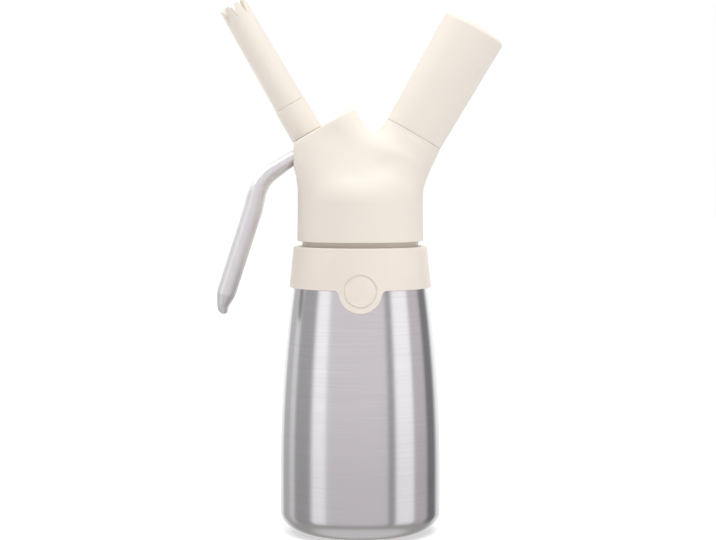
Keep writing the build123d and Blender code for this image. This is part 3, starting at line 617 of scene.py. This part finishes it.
class WHIPPER_OT_lever(bpy.types.Operator):
    """Sweeps the lever's rounded section along its bent fork and handle, and cuts the fork's slot"""

    bl_idname = "whipper.lever"
    bl_label = "Lever"

    PIVOT = (17.0 * MM, 45.9 * MM)
    FORK = 48.5 * MM
    SHOULDER = (10.0 * MM, 14.0 * MM, 0.9 * MM)
    MITRE = (1.3, 1.6)
    NOSE = (5.0 * MM, 4.4 * MM)
    SWELL = 15.0 * MM
    NUB = (10.0 * MM, 4.2 * MM)
    OUTER_DEPTHS, INNER_DEPTHS = (2.0 * MM, 2.7 * MM), (8.0 * MM, 8.3 * MM)
    NUB_WIDTH = 0.72
    END_ROUND, END_WIDTH = 2.6 * MM, 0.35
    END_TURN, END_STEPS = 86, 9
    OUTER_CUTS = np.array([1, 1, 1, 2, 12, 1, 2, 0.5]) * MM
    INNER_CUTS = np.array([1, 1, 1, 2, 6, 4, 2, 0.5]) * MM
    STEPS, ROUND_SECTION = 8, 96
    SLOT, SLOT_END = 5.3 * MM, -1.2 * MM
    PIN_HOLE = 1.55 * MM

    def edges(self, sizes):
        """Matching points of the outer and the inner edge in side view, (across, station) on the nozzle's
        axis."""
        pivot = np.array(self.PIVOT)
        half = sizes.fork / 2
        along = -np.array([math.cos(sizes.bend), math.sin(sizes.bend)])
        out = np.array([-math.sin(sizes.bend), math.cos(sizes.bend)])
        bend = pivot - (self.FORK, 0)
        mitre = (np.array([0, 1]) + out) / (2 * math.cos(sizes.bend / 2) ** 2) * half
        nub, knob = (sizes.handle_length - back for back in self.NUB)
        reach = sizes.handle_length - self.END_ROUND
        nose, drop = self.NOSE
        leave, shoulder, rise = self.SHOULDER
        above, below = self.MITRE
        top, bottom = pivot[1] + half, pivot[1] - half

        def edge_line(level, middle, neck, corner, depths, cuts):
            fork = [(pivot[0], level), (nose, level), (0, middle), (-nose, level), neck]
            grip = zip((self.SWELL, nub, knob, reach), depths)
            handle = [bend + along * distance + out * (half - depth) for distance, depth in grip]
            return rounded_path([*fork, bend + corner, *handle], cuts, self.STEPS)

        back, front = (sizes.handle, sizes.handle, *self.INNER_DEPTHS), (0, 0, *self.OUTER_DEPTHS)
        outer = edge_line(top, top, (-leave, top + rise), mitre * above, front, self.OUTER_CUTS)
        inner = edge_line(bottom, pivot[1] - drop, (-shoulder, bottom), -mitre * below, back, self.INNER_CUTS)
        return outer, inner

    def execute(self, context):
        sizes = context.scene.whipper_lever
        outer, inner = self.edges(sizes)
        middle, half = (outer + inner) / 2, (outer - inner) / 2
        travelled = np.concatenate([[0], np.cumsum(np.linalg.norm(np.diff(middle, axis=0), axis=1))])
        into_nub = np.clip((travelled - travelled[-1] + self.NUB[0] - self.END_ROUND) / self.NUB[0], 0, 1)
        width = sizes.width / 2 * (1 - (1 - self.NUB_WIDTH) * into_nub)
        middle, half, width = self.domed_ends(middle, half, width, sizes)
        rise, depth = superellipse(angles(self.ROUND_SECTION)[None, :], sizes.squareness)
        section = middle[:, None] + half[:, None] * rise[..., None]
        points = on_axis(NOZZLE, section[..., 0], width[:, None] * depth, section[..., 1])
        lever = build("lever_bar", points, [points[0].mean(axis=0), points[-1].mean(axis=0)])
        self.cut_fork(lever)
        dress(lever, "lever", "lever_metal", "polished_alloy", "lever")
        return {"FINISHED"}

    def domed_ends(self, middle, half, width, sizes):
        """Adds a quarter ellipse to both ends: the section shrinks with cos t while it moves on by sin t."""
        turn = np.radians(np.linspace(0, self.END_TURN, self.END_STEPS))[1:, None]
        ahead = middle[-1] - middle[-2]
        ahead = ahead / np.linalg.norm(ahead)
        back = np.array([1.0, 0.0])
        tail = middle[-1] + ahead * self.END_ROUND * np.sin(turn)
        nose = (middle[0] + back * sizes.fork / 2 * np.sin(turn))[::-1]
        shrink = np.cos(turn)
        narrow = self.END_WIDTH + (1 - self.END_WIDTH) * shrink[:, 0]
        middle = np.concatenate([nose, middle, tail])
        half = np.concatenate([(half[0] * shrink)[::-1], half, half[-1] * shrink])
        width = np.concatenate([(width[0] * narrow)[::-1], width, width[-1] * narrow])
        return middle, half, width

    def cut_fork(self, lever):
        """Opens the slot between the fork's two tines, round at its inner end, and the hole for the pin."""
        radius, clear = self.SLOT, 4 * self.SLOT
        far, high = self.PIVOT[0] + clear, self.PIVOT[1] + clear
        bow = arc((self.SLOT_END, 0), (radius, radius), 90, 270, 33)
        slot = np.concatenate([bow, [(far, -radius), (far, radius)]])
        carve(lever, slot, 0.0, high, partial(on_axis, NOZZLE))
        carve(lever, circle(self.PIVOT, self.PIN_HOLE, 40), -clear, clear, nozzle_side_view)
        smooth(lever.data)


class WHIPPER_OT_nozzle(bpy.types.Operator):
    """Turns the nozzle: adapter with its threaded spigot, and the decorator tip with its star end"""

    bl_idname = "whipper.nozzle"
    bl_label = "Nozzle"

    HUB = (5.0 * MM, 33.9 * MM)
    FLANGE = (7.2 * MM, 39.4 * MM, 41.4 * MM)
    COLLAR = (53.0 * MM, 69.8 * MM)
    SPIGOT = (5.2 * MM, 79.8 * MM)
    SPIGOT_THREAD = (1.8 * MM, 4.0, 0.55 * MM)
    STEM_BORE = (3.55 * MM, 64.0 * MM)
    PASSAGE = 2.6 * MM
    EDGE, TIP_LIP = 0.2 * MM, 0.3 * MM
    TIP_LOW = 69.9 * MM
    TIP_SOCKET = (6.05 * MM, 81.0 * MM)
    TIP_BORE = 4.9 * MM
    STAR_TURN = math.radians(41)
    STAR_REACH, STAR_STEPS = 9.0 * MM, 18

    def execute(self, context):
        sizes = context.scene.whipper_plastic
        dress(self.adapter(sizes), "piston", "cream_plastic", "cream_plastic", "nozzle_adapter")
        dress(self.tip(sizes), "decorator_tip", "cream_plastic", "cream_plastic", "decorator_tip")
        coat("silicone", "tip_seal")
        return {"FINISHED"}

    def adapter(self, sizes):
        """Hub, flange and collar turned as one closed section, with a threaded spigot and a stepped bore."""
        hub, hub_low = self.HUB
        flange, flange_low, flange_top = self.FLANGE
        low, top = self.COLLAR
        spigot, spigot_top = self.SPIGOT
        bore, bore_top = self.STEM_BORE
        round_off = self.EDGE
        wide = sizes.adapter - round_off
        section = np.concatenate(
            [
                [(bore, hub_low), (hub, hub_low), (hub, flange_low), (flange, flange_low)],
                [(flange, flange_top), (hub, flange_top), (hub, low)],
                edge((wide, low + round_off), round_off, -90),
                run((sizes.adapter, low + round_off), (sizes.adapter, top - round_off), 6),
                edge((wide, top - round_off), round_off, 0),
                [(spigot, top)],
                run((spigot, top), (spigot, spigot_top - round_off), 56),
                edge((spigot - round_off, spigot_top - round_off), round_off, 0),
                [(self.PASSAGE, spigot_top), (self.PASSAGE, bore_top), (bore, bore_top)],
            ]
        )
        pitch, turns, height = self.SPIGOT_THREAD
        start = spigot_top - pitch * (turns + 0.5)
        on_spigot = np.isclose(section[:, :1], spigot) & (section[:, 1:] > top)

        def thread(turn, radius, station):
            return on_spigot * height * helix_ridge(turn, station, start, pitch, turns)

        return turned("nozzle_adapter_moulding", NOZZLE, section, True, thread)

    def tip(self, sizes):
        """Tapering tube whose end stops lower by depth times 1 - |y| / half width across each notch, where
        y is the distance from the notch's middle plane."""
        end, low = self.TIP_LOW + sizes.tip_length, self.TIP_LOW + self.EDGE
        socket, socket_top = self.TIP_SOCKET
        bore, lip, steps = self.TIP_BORE, self.TIP_LIP, self.STAR_STEPS
        plain_top = end - self.STAR_REACH
        slope = (sizes.tip_end - sizes.tip_base) / sizes.tip_length
        shoulder = sizes.tip_base + slope * (plain_top - self.TIP_LOW)
        rim = sizes.tip_end - lip
        section = np.concatenate(
            [
                [(socket, self.TIP_LOW)],
                edge((sizes.tip_base - self.EDGE, low), self.EDGE, -90),
                run((sizes.tip_base, low), (shoulder, plain_top), 24),
                [(shoulder, plain_top)],
                run((shoulder, plain_top), (sizes.tip_end, end), steps),
                edge((rim, end - lip), lip, 0, 4),
                run((rim, end), (bore, end), 4),
                [(bore, end)],
                run((bore, end), (bore, plain_top), steps),
                [(bore, plain_top), (bore, socket_top), (socket, socket_top)],
            ]
        )
        turn, radius, station = spun(section)
        spacing = 2 * math.pi / sizes.teeth
        off = (turn - self.STAR_TURN + spacing / 2) % spacing - spacing / 2
        aside = np.abs(radius * np.sin(off)) / (sizes.notch_width / 2)
        depth = sizes.notch_depth * np.clip(1 - aside, 0, 1)
        station = station - depth * np.clip((station - plain_top) / self.STAR_REACH, 0, 1)
        return build("decorator_tip_moulding", on_axis(NOZZLE, *polar(radius, turn), station))


class WHIPPER_OT_holder(bpy.types.Operator):
    """Turns the charger holder with its domed end and the ribs that centre the charger"""

    bl_idname = "whipper.holder"
    bl_label = "Charger holder"

    LOW, FLOOR, TOP = 53.3 * MM, 108.7 * MM, 113.3 * MM
    BORE = 12.5 * MM
    THREAD_END = 67.0 * MM
    RIBS, RIB_FLANK = (6, 1.8 * MM, 9.4 * MM), 0.5 * MM
    EDGE, END_EDGE = 0.2 * MM, 1.6 * MM
    NEAR_POLE = 89.2

    def execute(self, context):
        sizes = context.scene.whipper_plastic
        round_off, end_round = self.EDGE, self.END_EDGE
        base, bore, low = sizes.holder_base, self.BORE, self.LOW + self.EDGE
        crown = (sizes.holder_end**2 + sizes.holder_crown**2) / (2 * sizes.holder_crown)
        centre = self.TOP + sizes.holder_crown - crown
        taper = (sizes.holder_end - base) / (self.TOP - self.LOW)
        end = sizes.holder_end - taper * end_round
        lift = math.sqrt((crown - end_round) ** 2 - (end - end_round) ** 2)
        corner = (end - end_round, centre + lift)
        lean = math.degrees(math.atan2(lift, end - end_round))
        dome_start = math.degrees(math.acos((end - end_round) / (crown - end_round)))
        section = np.concatenate(
            [
                run((0, self.FLOOR), (bore, self.FLOOR), 14),
                [(bore, self.FLOOR)],
                run((bore, self.FLOOR), (bore, self.THREAD_END), 16),
                run((bore, self.THREAD_END), (bore, low), 8),
                edge((bore + round_off, low), round_off, 180),
                edge((base - round_off, low), round_off, 270),
                run((base, low), (end, corner[1]), 30),
                arc(corner, (end_round, end_round), 0, lean, 9),
                arc((0, centre), (crown, crown), dome_start, self.NEAR_POLE, 16)[1:],
            ]
        )
        count, thick, inner = self.RIBS
        spacing = 2 * math.pi / count
        bored = np.isclose(section[:, :1], bore) & (section[:, 1:] > self.THREAD_END)

        def ribs(turn, radius, station):
            off = (turn + spacing / 2) % spacing - spacing / 2
            beside = np.abs(radius * np.sin(off)) - thick / 2
            return np.clip(0.5 - beside / self.RIB_FLANK, 0, 1) * bored * (inner - bore)

        holder = turned("charger_holder_moulding", GAS, section, False, ribs)
        dress(holder, "charger_holder", "cream_plastic", "cream_plastic", "charger_holder")
        return {"FINISHED"}


class WHIPPER_OT_head(bpy.types.Operator):
    """Skins the nozzle's arm, swells the hollows beside the arms, and finishes head, collar and gasket"""

    bl_idname = "whipper.head"
    bl_label = "Head and collar"

    LOW, HIGH = math.radians(20.8), math.radians(89.5)
    GRID, HALVINGS, SEARCH = (240, 120), 24, (5 * MM, 90 * MM)
    INSIDE = (28.3 * MM, 167.2 * MM)
    PROUD, END_SUNK = 0.05 * MM, 1.5 * MM
    DOME = (31.128 * MM, 164.2435 * MM)
    DOME_FRONT, DOME_SIDES = (22.0 * MM, 2.0), (30.0 * MM, 3.0)
    FLARE = math.radians(5)
    GAS_ARM = (15.0 * MM, 53.2 * MM)
    NOZZLE_ARM = (9.4 * MM, 16.8 * MM, 52.5 * MM)
    SIDE = -32.73 * MM
    HEEL = ((-32.73 * MM, 182.04 * MM), (-26.73 * MM, 168.04 * MM))
    HEEL_ROUND, ROOF_ROUND = 0.6 * MM, 1.2 * MM
    POWERS = (4.4, 3.2)
    SKIN_LOW, SKIN_STEPS, SKIN_TRIES, ROOF_STEPS = 168.5 * MM, 60, 20, 8
    ROOF_RINGS = np.array([0.8, 0.5, 0.2])[:, None, None]
    LEAST_HOLLOW, MOST_HOLLOW, HOLLOW_RISE = 0.5 * MM, 14.0 * MM, 6.0 * MM
    SLIVER = 0.01 * MM
    CROTCH, MIXING = (18.0 * MM, 8.0 * MM), 8.0 * MM
    BORE, SOCKET, PIN = 8.0 * MM, 12.6 * MM, 1.6 * MM
    PIN_PLACE = (17.0 * MM, 45.9 * MM)
    POCKET = np.array([(-95, 22.5), (-7.6, 38.0), (21.3, 38.0), (21.3, 50.4), (-95, 50.4)]) * MM
    POCKET_HALF, MOUTH_HALF = 8.2 * MM, 8.7 * MM
    BORE_LOW, BORE_TOP, MOUTH_LOW, FAR = 8 * MM, 48 * MM, 45.8 * MM, 95 * MM

    def execute(self, context):
        coat("cream_plastic", "head_body")
        # The collar's plastic has painted shade on its upstand in the gap under the head
        coat("collar_plastic", "collar_ring")
        coat("silicone", "head_gasket")
        for piece in (self.arm_skin(), self.swell(context.scene.whipper_plastic)):
            self.hollow_out(piece)
            dress(piece, "head", "cream_plastic", "cream_plastic")
        return {"FINISHED"}

    def halves(self, station):
        """Half widths of the nozzle arm's section: on the left to the upright side or the heel below it,
        and on the right and to the front to the flaring arm."""
        shift, radius, reach = self.NOZZLE_ARM
        (heel, heel_station), (toe, toe_station) = (from_axis(NOZZLE, x, z) for x, z in self.HEEL)
        slant = (toe - heel) / (toe_station - heel_station)
        to_side = shift - (self.SIDE + station * SINE) / COSINE
        to_heel = shift - heel - slant * (station - heel_station)
        flared = radius + math.tan(self.FLARE) * (reach - station)
        return smooth_union(to_side, to_heel, self.HEEL_ROUND), flared

    def arm_skin(self):
        """Solid over the nozzle's arm and the cheeks beside it. Its sections are superellipses with a higher
        power and another half width on the left; they run from a level inside the dome to a rounded roof."""
        shift, _, reach = self.NOZZLE_ARM
        turn = angles()[None, :]
        on_left = np.cos(turn) < 0
        aside, ahead = superellipse(turn, np.where(on_left, *self.POWERS))

        def section(station, inset):
            left, right = self.halves(station)
            grown = self.PROUD - inset
            return shift + aside * (np.where(on_left, left, right) + grown), ahead * (right + grown)

        top = reach + self.PROUD - self.ROOF_ROUND
        low = np.zeros_like(turn)
        for _ in range(self.SKIN_TRIES):
            across, _ = section(low, 0)
            low = (self.SKIN_LOW - MEET_HEIGHT - across * SINE) / COSINE
        share = np.linspace(0, 1, self.SKIN_STEPS)[:, None]
        bow = np.radians(np.linspace(0, 90, self.ROOF_STEPS))[1:, None]
        station = np.concatenate([low + share * (top - low), top + self.ROOF_ROUND * np.sin(bow) + 0 * low])
        inset = np.concatenate([0 * share, self.ROOF_ROUND * (1 - np.cos(bow))])
        points = on_axis(NOZZLE, *section(station, inset), station)
        roof = on_axis(NOZZLE, shift, 0.0, reach + self.PROUD)
        points = np.concatenate([points, roof + (points[-1] - roof) * self.ROOF_RINGS])
        return build("nozzle_arm_skin", points, [points[0].mean(axis=0), roof])

    def dome(self, x, y, z):
        """Distance to the skirt and its dome, a superellipse in half section, and the direction away from it.
        The dome is low and round at front and back, and rises to high shoulders at both sides."""
        wide, low = self.DOME
        reach = np.hypot(x, y)
        aside = (x / reach) ** 2
        (front_high, front_power), (side_high, side_power) = self.DOME_FRONT, self.DOME_SIDES
        high = front_high + (side_high - front_high) * aside
        power = front_power + (side_power - front_power) * aside
        off, out, up = from_superellipse(reach, np.maximum(z - low, 0), wide, high, power)
        return off, np.stack([out * x / reach, out * y / reach, up])

    def gas_arm(self, x, y, z):
        """Distance to the gas charger's flaring round arm, and the direction away from it."""
        radius, reach = self.GAS_ARM
        level, up = math.cos(self.FLARE), math.sin(self.FLARE)
        across, station = from_axis(GAS, x, z)
        round_arm = np.hypot(across, y)
        wall = (round_arm - radius - math.tan(self.FLARE) * (reach - station)) * level
        out = across / round_arm * level
        away = np.stack([out * COSINE + up * SINE, y / round_arm * level, up * COSINE - out * SINE])
        return np.maximum(wall, station - reach + self.END_SUNK), away

    def nozzle_arm(self, x, y, z):
        """Distance to the nozzle arm's skin, a superellipse in section, and the direction away from it."""
        shift, _, reach = self.NOZZLE_ARM
        across, station = from_axis(NOZZLE, x, z)
        across = across - shift
        left, right = self.halves(station)
        wide = np.where(across < 0, left, right)
        power = np.where(across < 0, *self.POWERS)
        off, out, ahead = from_superellipse(across, y, wide, right, power)
        away = np.stack([out * COSINE, ahead, out * SINE])
        return np.maximum(off, station - reach + self.END_SUNK), away

    def outside(self, x, y, z, sizes):
        """Distance to dome and arms, with a hollow of one radius where an arm leaves the dome: a smooth union
        whose width is the radius times 1 - cos f, for the angle f between the two surfaces, and grows
        smoothly from nothing at the foot of the dome. Between the arms the width is a share q / (1 + q) of
        its most, with q the square of the depth, so that the crotch stays deep inside, and it passes smoothly
        into the dome's."""
        dome, dome_way = self.dome(x, y, z)
        (gas, gas_way), (nozzle, nozzle_way) = self.gas_arm(x, y, z), self.nozzle_arm(x, y, z)
        rise = smooth_step((z - self.DOME[1]) / self.HOLLOW_RISE)

        def hollow(arm_way):
            return np.minimum(sizes.hollow * (1 - (dome_way * arm_way).sum(axis=0)), self.MOST_HOLLOW)

        most, depth = self.CROTCH
        outward = (y / depth) ** 2
        share = smooth_step(0.5 + (dome - gas) / self.MIXING)
        widths = hollow(gas_way), hollow(nozzle_way) * (1 - share) + most * outward / (1 + outward) * share
        outer = dome
        for arm, width in zip((gas, nozzle), widths):
            outer = smooth_union(outer, arm, (self.LEAST_HOLLOW + width) * rise + self.SLIVER)
        return outer

    def swell(self, sizes):
        """Solid around the point where the arms' axes meet. Along the direction with azimuth t and elevation
        e, its radius is where the distance to the softened outside reaches the height it stands proud, found
        by halving. Its foot turns in within the head's wall and up over the ceiling."""
        columns, rows = self.GRID
        turn = angles(columns)[None, :]
        climb = np.linspace(self.LOW, self.HIGH, rows)[:, None]
        way = grid(*polar(np.cos(climb), turn), np.sin(climb))
        centre = np.array([0, 0, MEET_HEIGHT])
        near, far = (np.full(way.shape[:2], limit) for limit in self.SEARCH)
        for _ in range(self.HALVINGS):
            middle = (near + far) / 2
            x, y, z = np.moveaxis(centre + way * middle[..., None], -1, 0)
            inside = self.outside(x, y, z, sizes) < self.PROUD
            near, far = np.where(inside, middle, near), np.where(inside, far, middle)
        points = centre + way * near[..., None]
        wall, ceiling = self.INSIDE
        inner = [grid(*polar(wall, turn[0]), height) for height in (ceiling, points[0, :, 2])]
        points = np.concatenate([inner, points])
        return build("head_soft_hollows", points, [(0, 0, ceiling), points[-1].mean(axis=0)])

    def hollow_out(self, piece):
        """Clears the lever's pocket, the nozzle's mouth, both bores and the pivot's hole."""
        far, pin = self.FAR, self.PIN_PLACE[1]
        mouth = np.array([(-far, pin), (0, pin), (0, far), (-far, far)])
        for outline, half in ((self.POCKET, self.POCKET_HALF), (mouth, self.MOUTH_HALF)):
            carve(piece, outline, -half, half, nozzle_side_view)
        bores = [
            (NOZZLE, self.BORE, self.BORE_LOW, self.BORE_TOP),
            (NOZZLE, self.MOUTH_HALF, self.MOUTH_LOW, far),
            (GAS, self.SOCKET, self.BORE_LOW, far),
        ]
        for side, radius, low, high in bores:
            carve(piece, circle((0, 0), radius, 64), low, high, partial(on_axis, side))
        carve(piece, circle(self.PIN_PLACE, self.PIN, 32), -far, 0.0, nozzle_side_view)
        smooth(piece.data)


class WHIPPER_OT_valve(bpy.types.Operator):
    """Winds the piston spring, and finishes the stem, seals and pin of the lever valve"""

    bl_idname = "whipper.valve"
    bl_label = "Lever valve"

    LOW, LENGTH = 30.7 * MM, 8.7 * MM
    COIL, WIRE = 5.9 * MM, 0.5 * MM
    PLAY = 0.05 * MM
    TURNS, TURN_STEPS, ROUND_WIRE = 4, 64, 16
    STROKE = 2.97 * MM

    def execute(self, context):
        spring = self.spring()
        dress(spring, "head", "spring_steel", "spring_steel", "piston_spring")
        foot = on_axis(NOZZLE, 0.0, 0.0, self.LOW)
        along = on_axis(NOZZLE, 0.0, 0.0, self.LOW + self.LENGTH) - foot
        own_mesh(spring)
        coat("valve_steel", "piston_stem", "lever_pivot_pin", "o_ring_retainer")
        coat("silicone", "piston_seal")
        coat("black_rubber", "stem_o_ring")
        return {"FINISHED"}

    def spring(self):
        """Round wire along a helix: the helix's point plus wire times (cos w along its outward normal, sin w
        along its binormal), with both ends closed to a point."""
        low = self.LOW + self.WIRE + self.PLAY
        rise = (self.LENGTH - 2 * (self.WIRE + self.PLAY)) / (2 * math.pi * self.TURNS)
        turn = np.linspace(0, 2 * math.pi * self.TURNS, self.TURN_STEPS * self.TURNS + 1)[:, None]
        round_wire = angles(self.ROUND_WIRE)[None, :]
        slope = math.atan2(rise, self.COIL)
        outward = self.COIL + self.WIRE * np.cos(round_wire)
        aside = self.WIRE * np.sin(round_wire)
        x = outward * np.cos(turn) + aside * math.sin(slope) * np.sin(turn)
        y = outward * np.sin(turn) - aside * math.sin(slope) * np.cos(turn)
        station = low + rise * turn + aside * math.cos(slope)
        points = on_axis(NOZZLE, x, y, station)[:, ::-1]
        return build("piston_spring_wire", points, [points[0].mean(axis=0), points[-1].mean(axis=0)])


class WHIPPER_OT_gas(bpy.types.Operator):
    """Finishes the gas charger, its socket, pin and seals"""

    bl_idname = "whipper.gas"
    bl_label = "Gas inlet"

    def execute(self, context):
        coat("charger_steel", "gas_charger")
        coat("cap_foil", "charger_cap")
        coat("plated_brass", "charger_socket")
        coat("valve_steel", "piercing_pin", "pin_nut")
        coat("black_rubber", "socket_o_ring", "charger_neck_seal", "non_return_valve")
        return {"FINISHED"}


# The studio's upright panels: from and to, in degrees from the front to the right, and the tone of each
PANELS = [
    (-180, -148, (0.92, 0.92, 0.92)),
    (-146, -126, (0.5, 0.5, 0.5)),
    (-121, -112, (0.7, 0.7, 0.7)),
    (-107, -79, (0.38, 0.38, 0.38)),
    (-71, -54, (1.0, 1.0, 1.0)),
    (-48, 38, (0.69, 0.66, 0.68)),
    (43, 49, (0.37, 0.36, 0.365)),
    (55, 81, (1.0, 1.0, 1.0)),
    (86, 108, (0.56, 0.53, 0.55)),
    (116, 133, (0.2, 0.2, 0.21)),
    (146, 180, (0.92, 0.92, 0.92)),
]


def aim(thing, spot, target):
    """Puts a camera or a light at a spot, turned to a target, and adds it to the scene."""
    thing.location = spot
    thing.rotation_euler = (Vector(target) - Vector(spot)).to_track_quat("-Z", "Y").to_euler()
    bpy.context.scene.collection.objects.link(thing)


class WHIPPER_OT_stage(bpy.types.Operator):
    """Sets the camera, the pale floor, the light of the room and three softboxes"""

    bl_idname = "whipper.stage"
    bl_label = "Stage"

    WHITE, WARM = (1, 1, 1, 1), (1, 0.97, 0.93, 1)
    SENSOR, CLIP_END = 36, 100
    FLOOR_RINGS, FLOOR_ROUND, FLOOR_DROP, FLOOR_GLOW = 24, 96, 0.1 * MM, 0.35
    # Heights on a sphere round the object, from -1 to 1, between which the room's light changes
    LIFT, LIFT_SHARES = (-0.2, 0.0), (0.79, 1.06)
    UPWARD, PANEL_TOP, GLOOM_TOP = (-0.1, 0.1), (0.38, 0.55), (0.74, 0.86)
    SOFTBOX, LIT = (0.5, 0.35), (0, 0, 0.175)

    def execute(self, context):
        sizes = context.scene.whipper_stage
        self.camera(context.scene, sizes)
        self.floor(sizes)
        self.room(context.scene, sizes)
        for name in ("key", "rim", "side"):
            self.softbox(name, getattr(sizes, f"{name}_place"), getattr(sizes, name))
        context.scene.view_settings.view_transform = "Standard"
        return {"FINISHED"}

    def camera(self, scene, sizes):
        """Camera at the photograph's viewing angle."""
        camera = bpy.data.objects.new("camera", bpy.data.cameras.new("camera"))
        camera.data.lens, camera.data.sensor_width = sizes.lens, self.SENSOR
        camera.data.clip_end = self.CLIP_END
        aim(camera, sizes.camera, sizes.aim)
        scene.camera = camera

    def floor(self, sizes):
        """Disc of rings whose radii grow with the square of their number."""
        turn = angles(self.FLOOR_ROUND)[None, :]
        radius = sizes.floor_radius * (np.arange(self.FLOOR_RINGS, 0, -1)[:, None] / self.FLOOR_RINGS) ** 2
        top, bottom = -self.FLOOR_DROP, -self.FLOOR_DROP - MM
        points = grid(*polar(radius, turn), top)
        points = np.concatenate([points[:1] - (0, 0, MM), points])
        flat = build("floor", points, [(0, 0, bottom), (0, 0, top)])
        pale = Finish("pale_floor", Emission_Color=self.WHITE)
        fleck = pale.noise(9, detail=4)
        pale.tint(fleck, shade(sizes.floor, 0.985), sizes.floor)
        pale.rough(fleck, 0.6, 0.05)
        seen = pale.add("ShaderNodeLightPath", output="Is Camera Ray")
        glow = pale.add("ShaderNodeMath", seen, self.FLOOR_GLOW, operation="MULTIPLY")
        pale.feed("Emission Strength", glow)
        flat.data.materials.append(pale.material)
        flat.visible_glossy = False

    def room(self, scene, sizes):
        """Light from all round: soft upright panels by azimuth, gloom above and below them, a ceiling, and
        white behind the object."""
        world = bpy.data.worlds.new("room")
        world.use_nodes = True
        scene.world = world
        tree = world.node_tree
        step = partial(add_node, tree)
        between = partial(step, "ShaderNodeMapRange")
        shine = partial(step, "ShaderNodeBackground")
        blend = partial(step, "ShaderNodeMixShader")
        x, y, z = step("ShaderNodeSeparateXYZ", step("ShaderNodeTexCoord", output="Generated")).node.outputs
        toward = step("ShaderNodeMath", y, -1.0, operation="MULTIPLY")
        azimuth = step("ShaderNodeMath", x, toward, operation="ARCTAN2")
        share = between(azimuth, -math.pi, math.pi, 0.0, 1.0)
        stops = [(angle / 360 + 0.5, tone) for start, end, tone in PANELS for angle in (start, end)]
        tones = add_ramp(tree, share, stops)
        diffuse = step("ShaderNodeLightPath", output="Is Diffuse Ray")
        strength = between(diffuse, 0.0, 1.0, sizes.panels, sizes.panels * sizes.fill)
        lift = between(z, *self.LIFT, *self.LIFT_SHARES)
        panels = shine(tones, step("ShaderNodeMath", strength, lift, operation="MULTIPLY"))
        ceiling = shine(self.WHITE, between(z, *self.UPWARD, sizes.below, sizes.ceiling))
        slope = step("ShaderNodeMath", z, operation="ABSOLUTE")
        lower = blend(between(slope, *self.PANEL_TOP, 0.0, 1.0), panels, shine(self.WARM, sizes.gloom))
        light = blend(between(slope, *self.GLOOM_TOP, 0.0, 1.0), lower, ceiling)
        seen = step("ShaderNodeLightPath", output="Is Camera Ray")
        surface = tree.nodes["World Output"].inputs["Surface"]
        tree.links.new(blend(seen, light, shine(self.WHITE, 1.0)), surface)

    def softbox(self, name, spot, power):
        """Softbox turned towards the head. The one beside casts no reflection."""
        light = bpy.data.lights.new(name, "AREA")
        light.shape, light.energy = "RECTANGLE", power
        light.size, light.size_y = self.SOFTBOX
        box = bpy.data.objects.new(name, light)
        aim(box, spot, self.LIT)
        box.visible_camera = False
        box.visible_glossy = name != "side"


class VIEW3D_PT_whipper(bpy.types.Panel):
    """Lists the whipper's pieces and their sizes"""

    bl_label = "Cream Whipper"
    bl_space_type = "VIEW_3D"
    bl_region_type = "UI"
    bl_category = "Whipper"

    def draw(self, context):
        for operator in OPERATORS:
            self.layout.operator(operator.bl_idname)
        for attribute, group in GROUPS.items():
            box = self.layout.box()
            box.label(text=group.__doc__)
            for name in group.__annotations__:
                box.prop(getattr(context.scene, attribute), name)


GROUPS = {
    "whipper_bottle": BottleSizes,
    "whipper_lever": LeverSizes,
    "whipper_plastic": PlasticSizes,
    "whipper_stage": StageSizes,
}
OPERATORS = [
    WHIPPER_OT_bottle,
    WHIPPER_OT_head,
    WHIPPER_OT_lever,
    WHIPPER_OT_nozzle,
    WHIPPER_OT_valve,
    WHIPPER_OT_holder,
    WHIPPER_OT_gas,
    WHIPPER_OT_stage,
]


def register():
    for group in (*GROUPS.values(), *OPERATORS, VIEW3D_PT_whipper):
        bpy.utils.register_class(group)
    for attribute, group in GROUPS.items():
        setattr(bpy.types.Scene, attribute, PointerProperty(type=group))


def unregister():
    for attribute in GROUPS:
        delattr(bpy.types.Scene, attribute)
    for group in (VIEW3D_PT_whipper, *reversed(OPERATORS), *reversed(GROUPS.values())):
        bpy.utils.unregister_class(group)


def main():
    register()
    for operator in OPERATORS:
        category, name = operator.bl_idname.split(".")
        getattr(getattr(bpy.ops, category), name)()


if __name__ == "__main__":
    main()
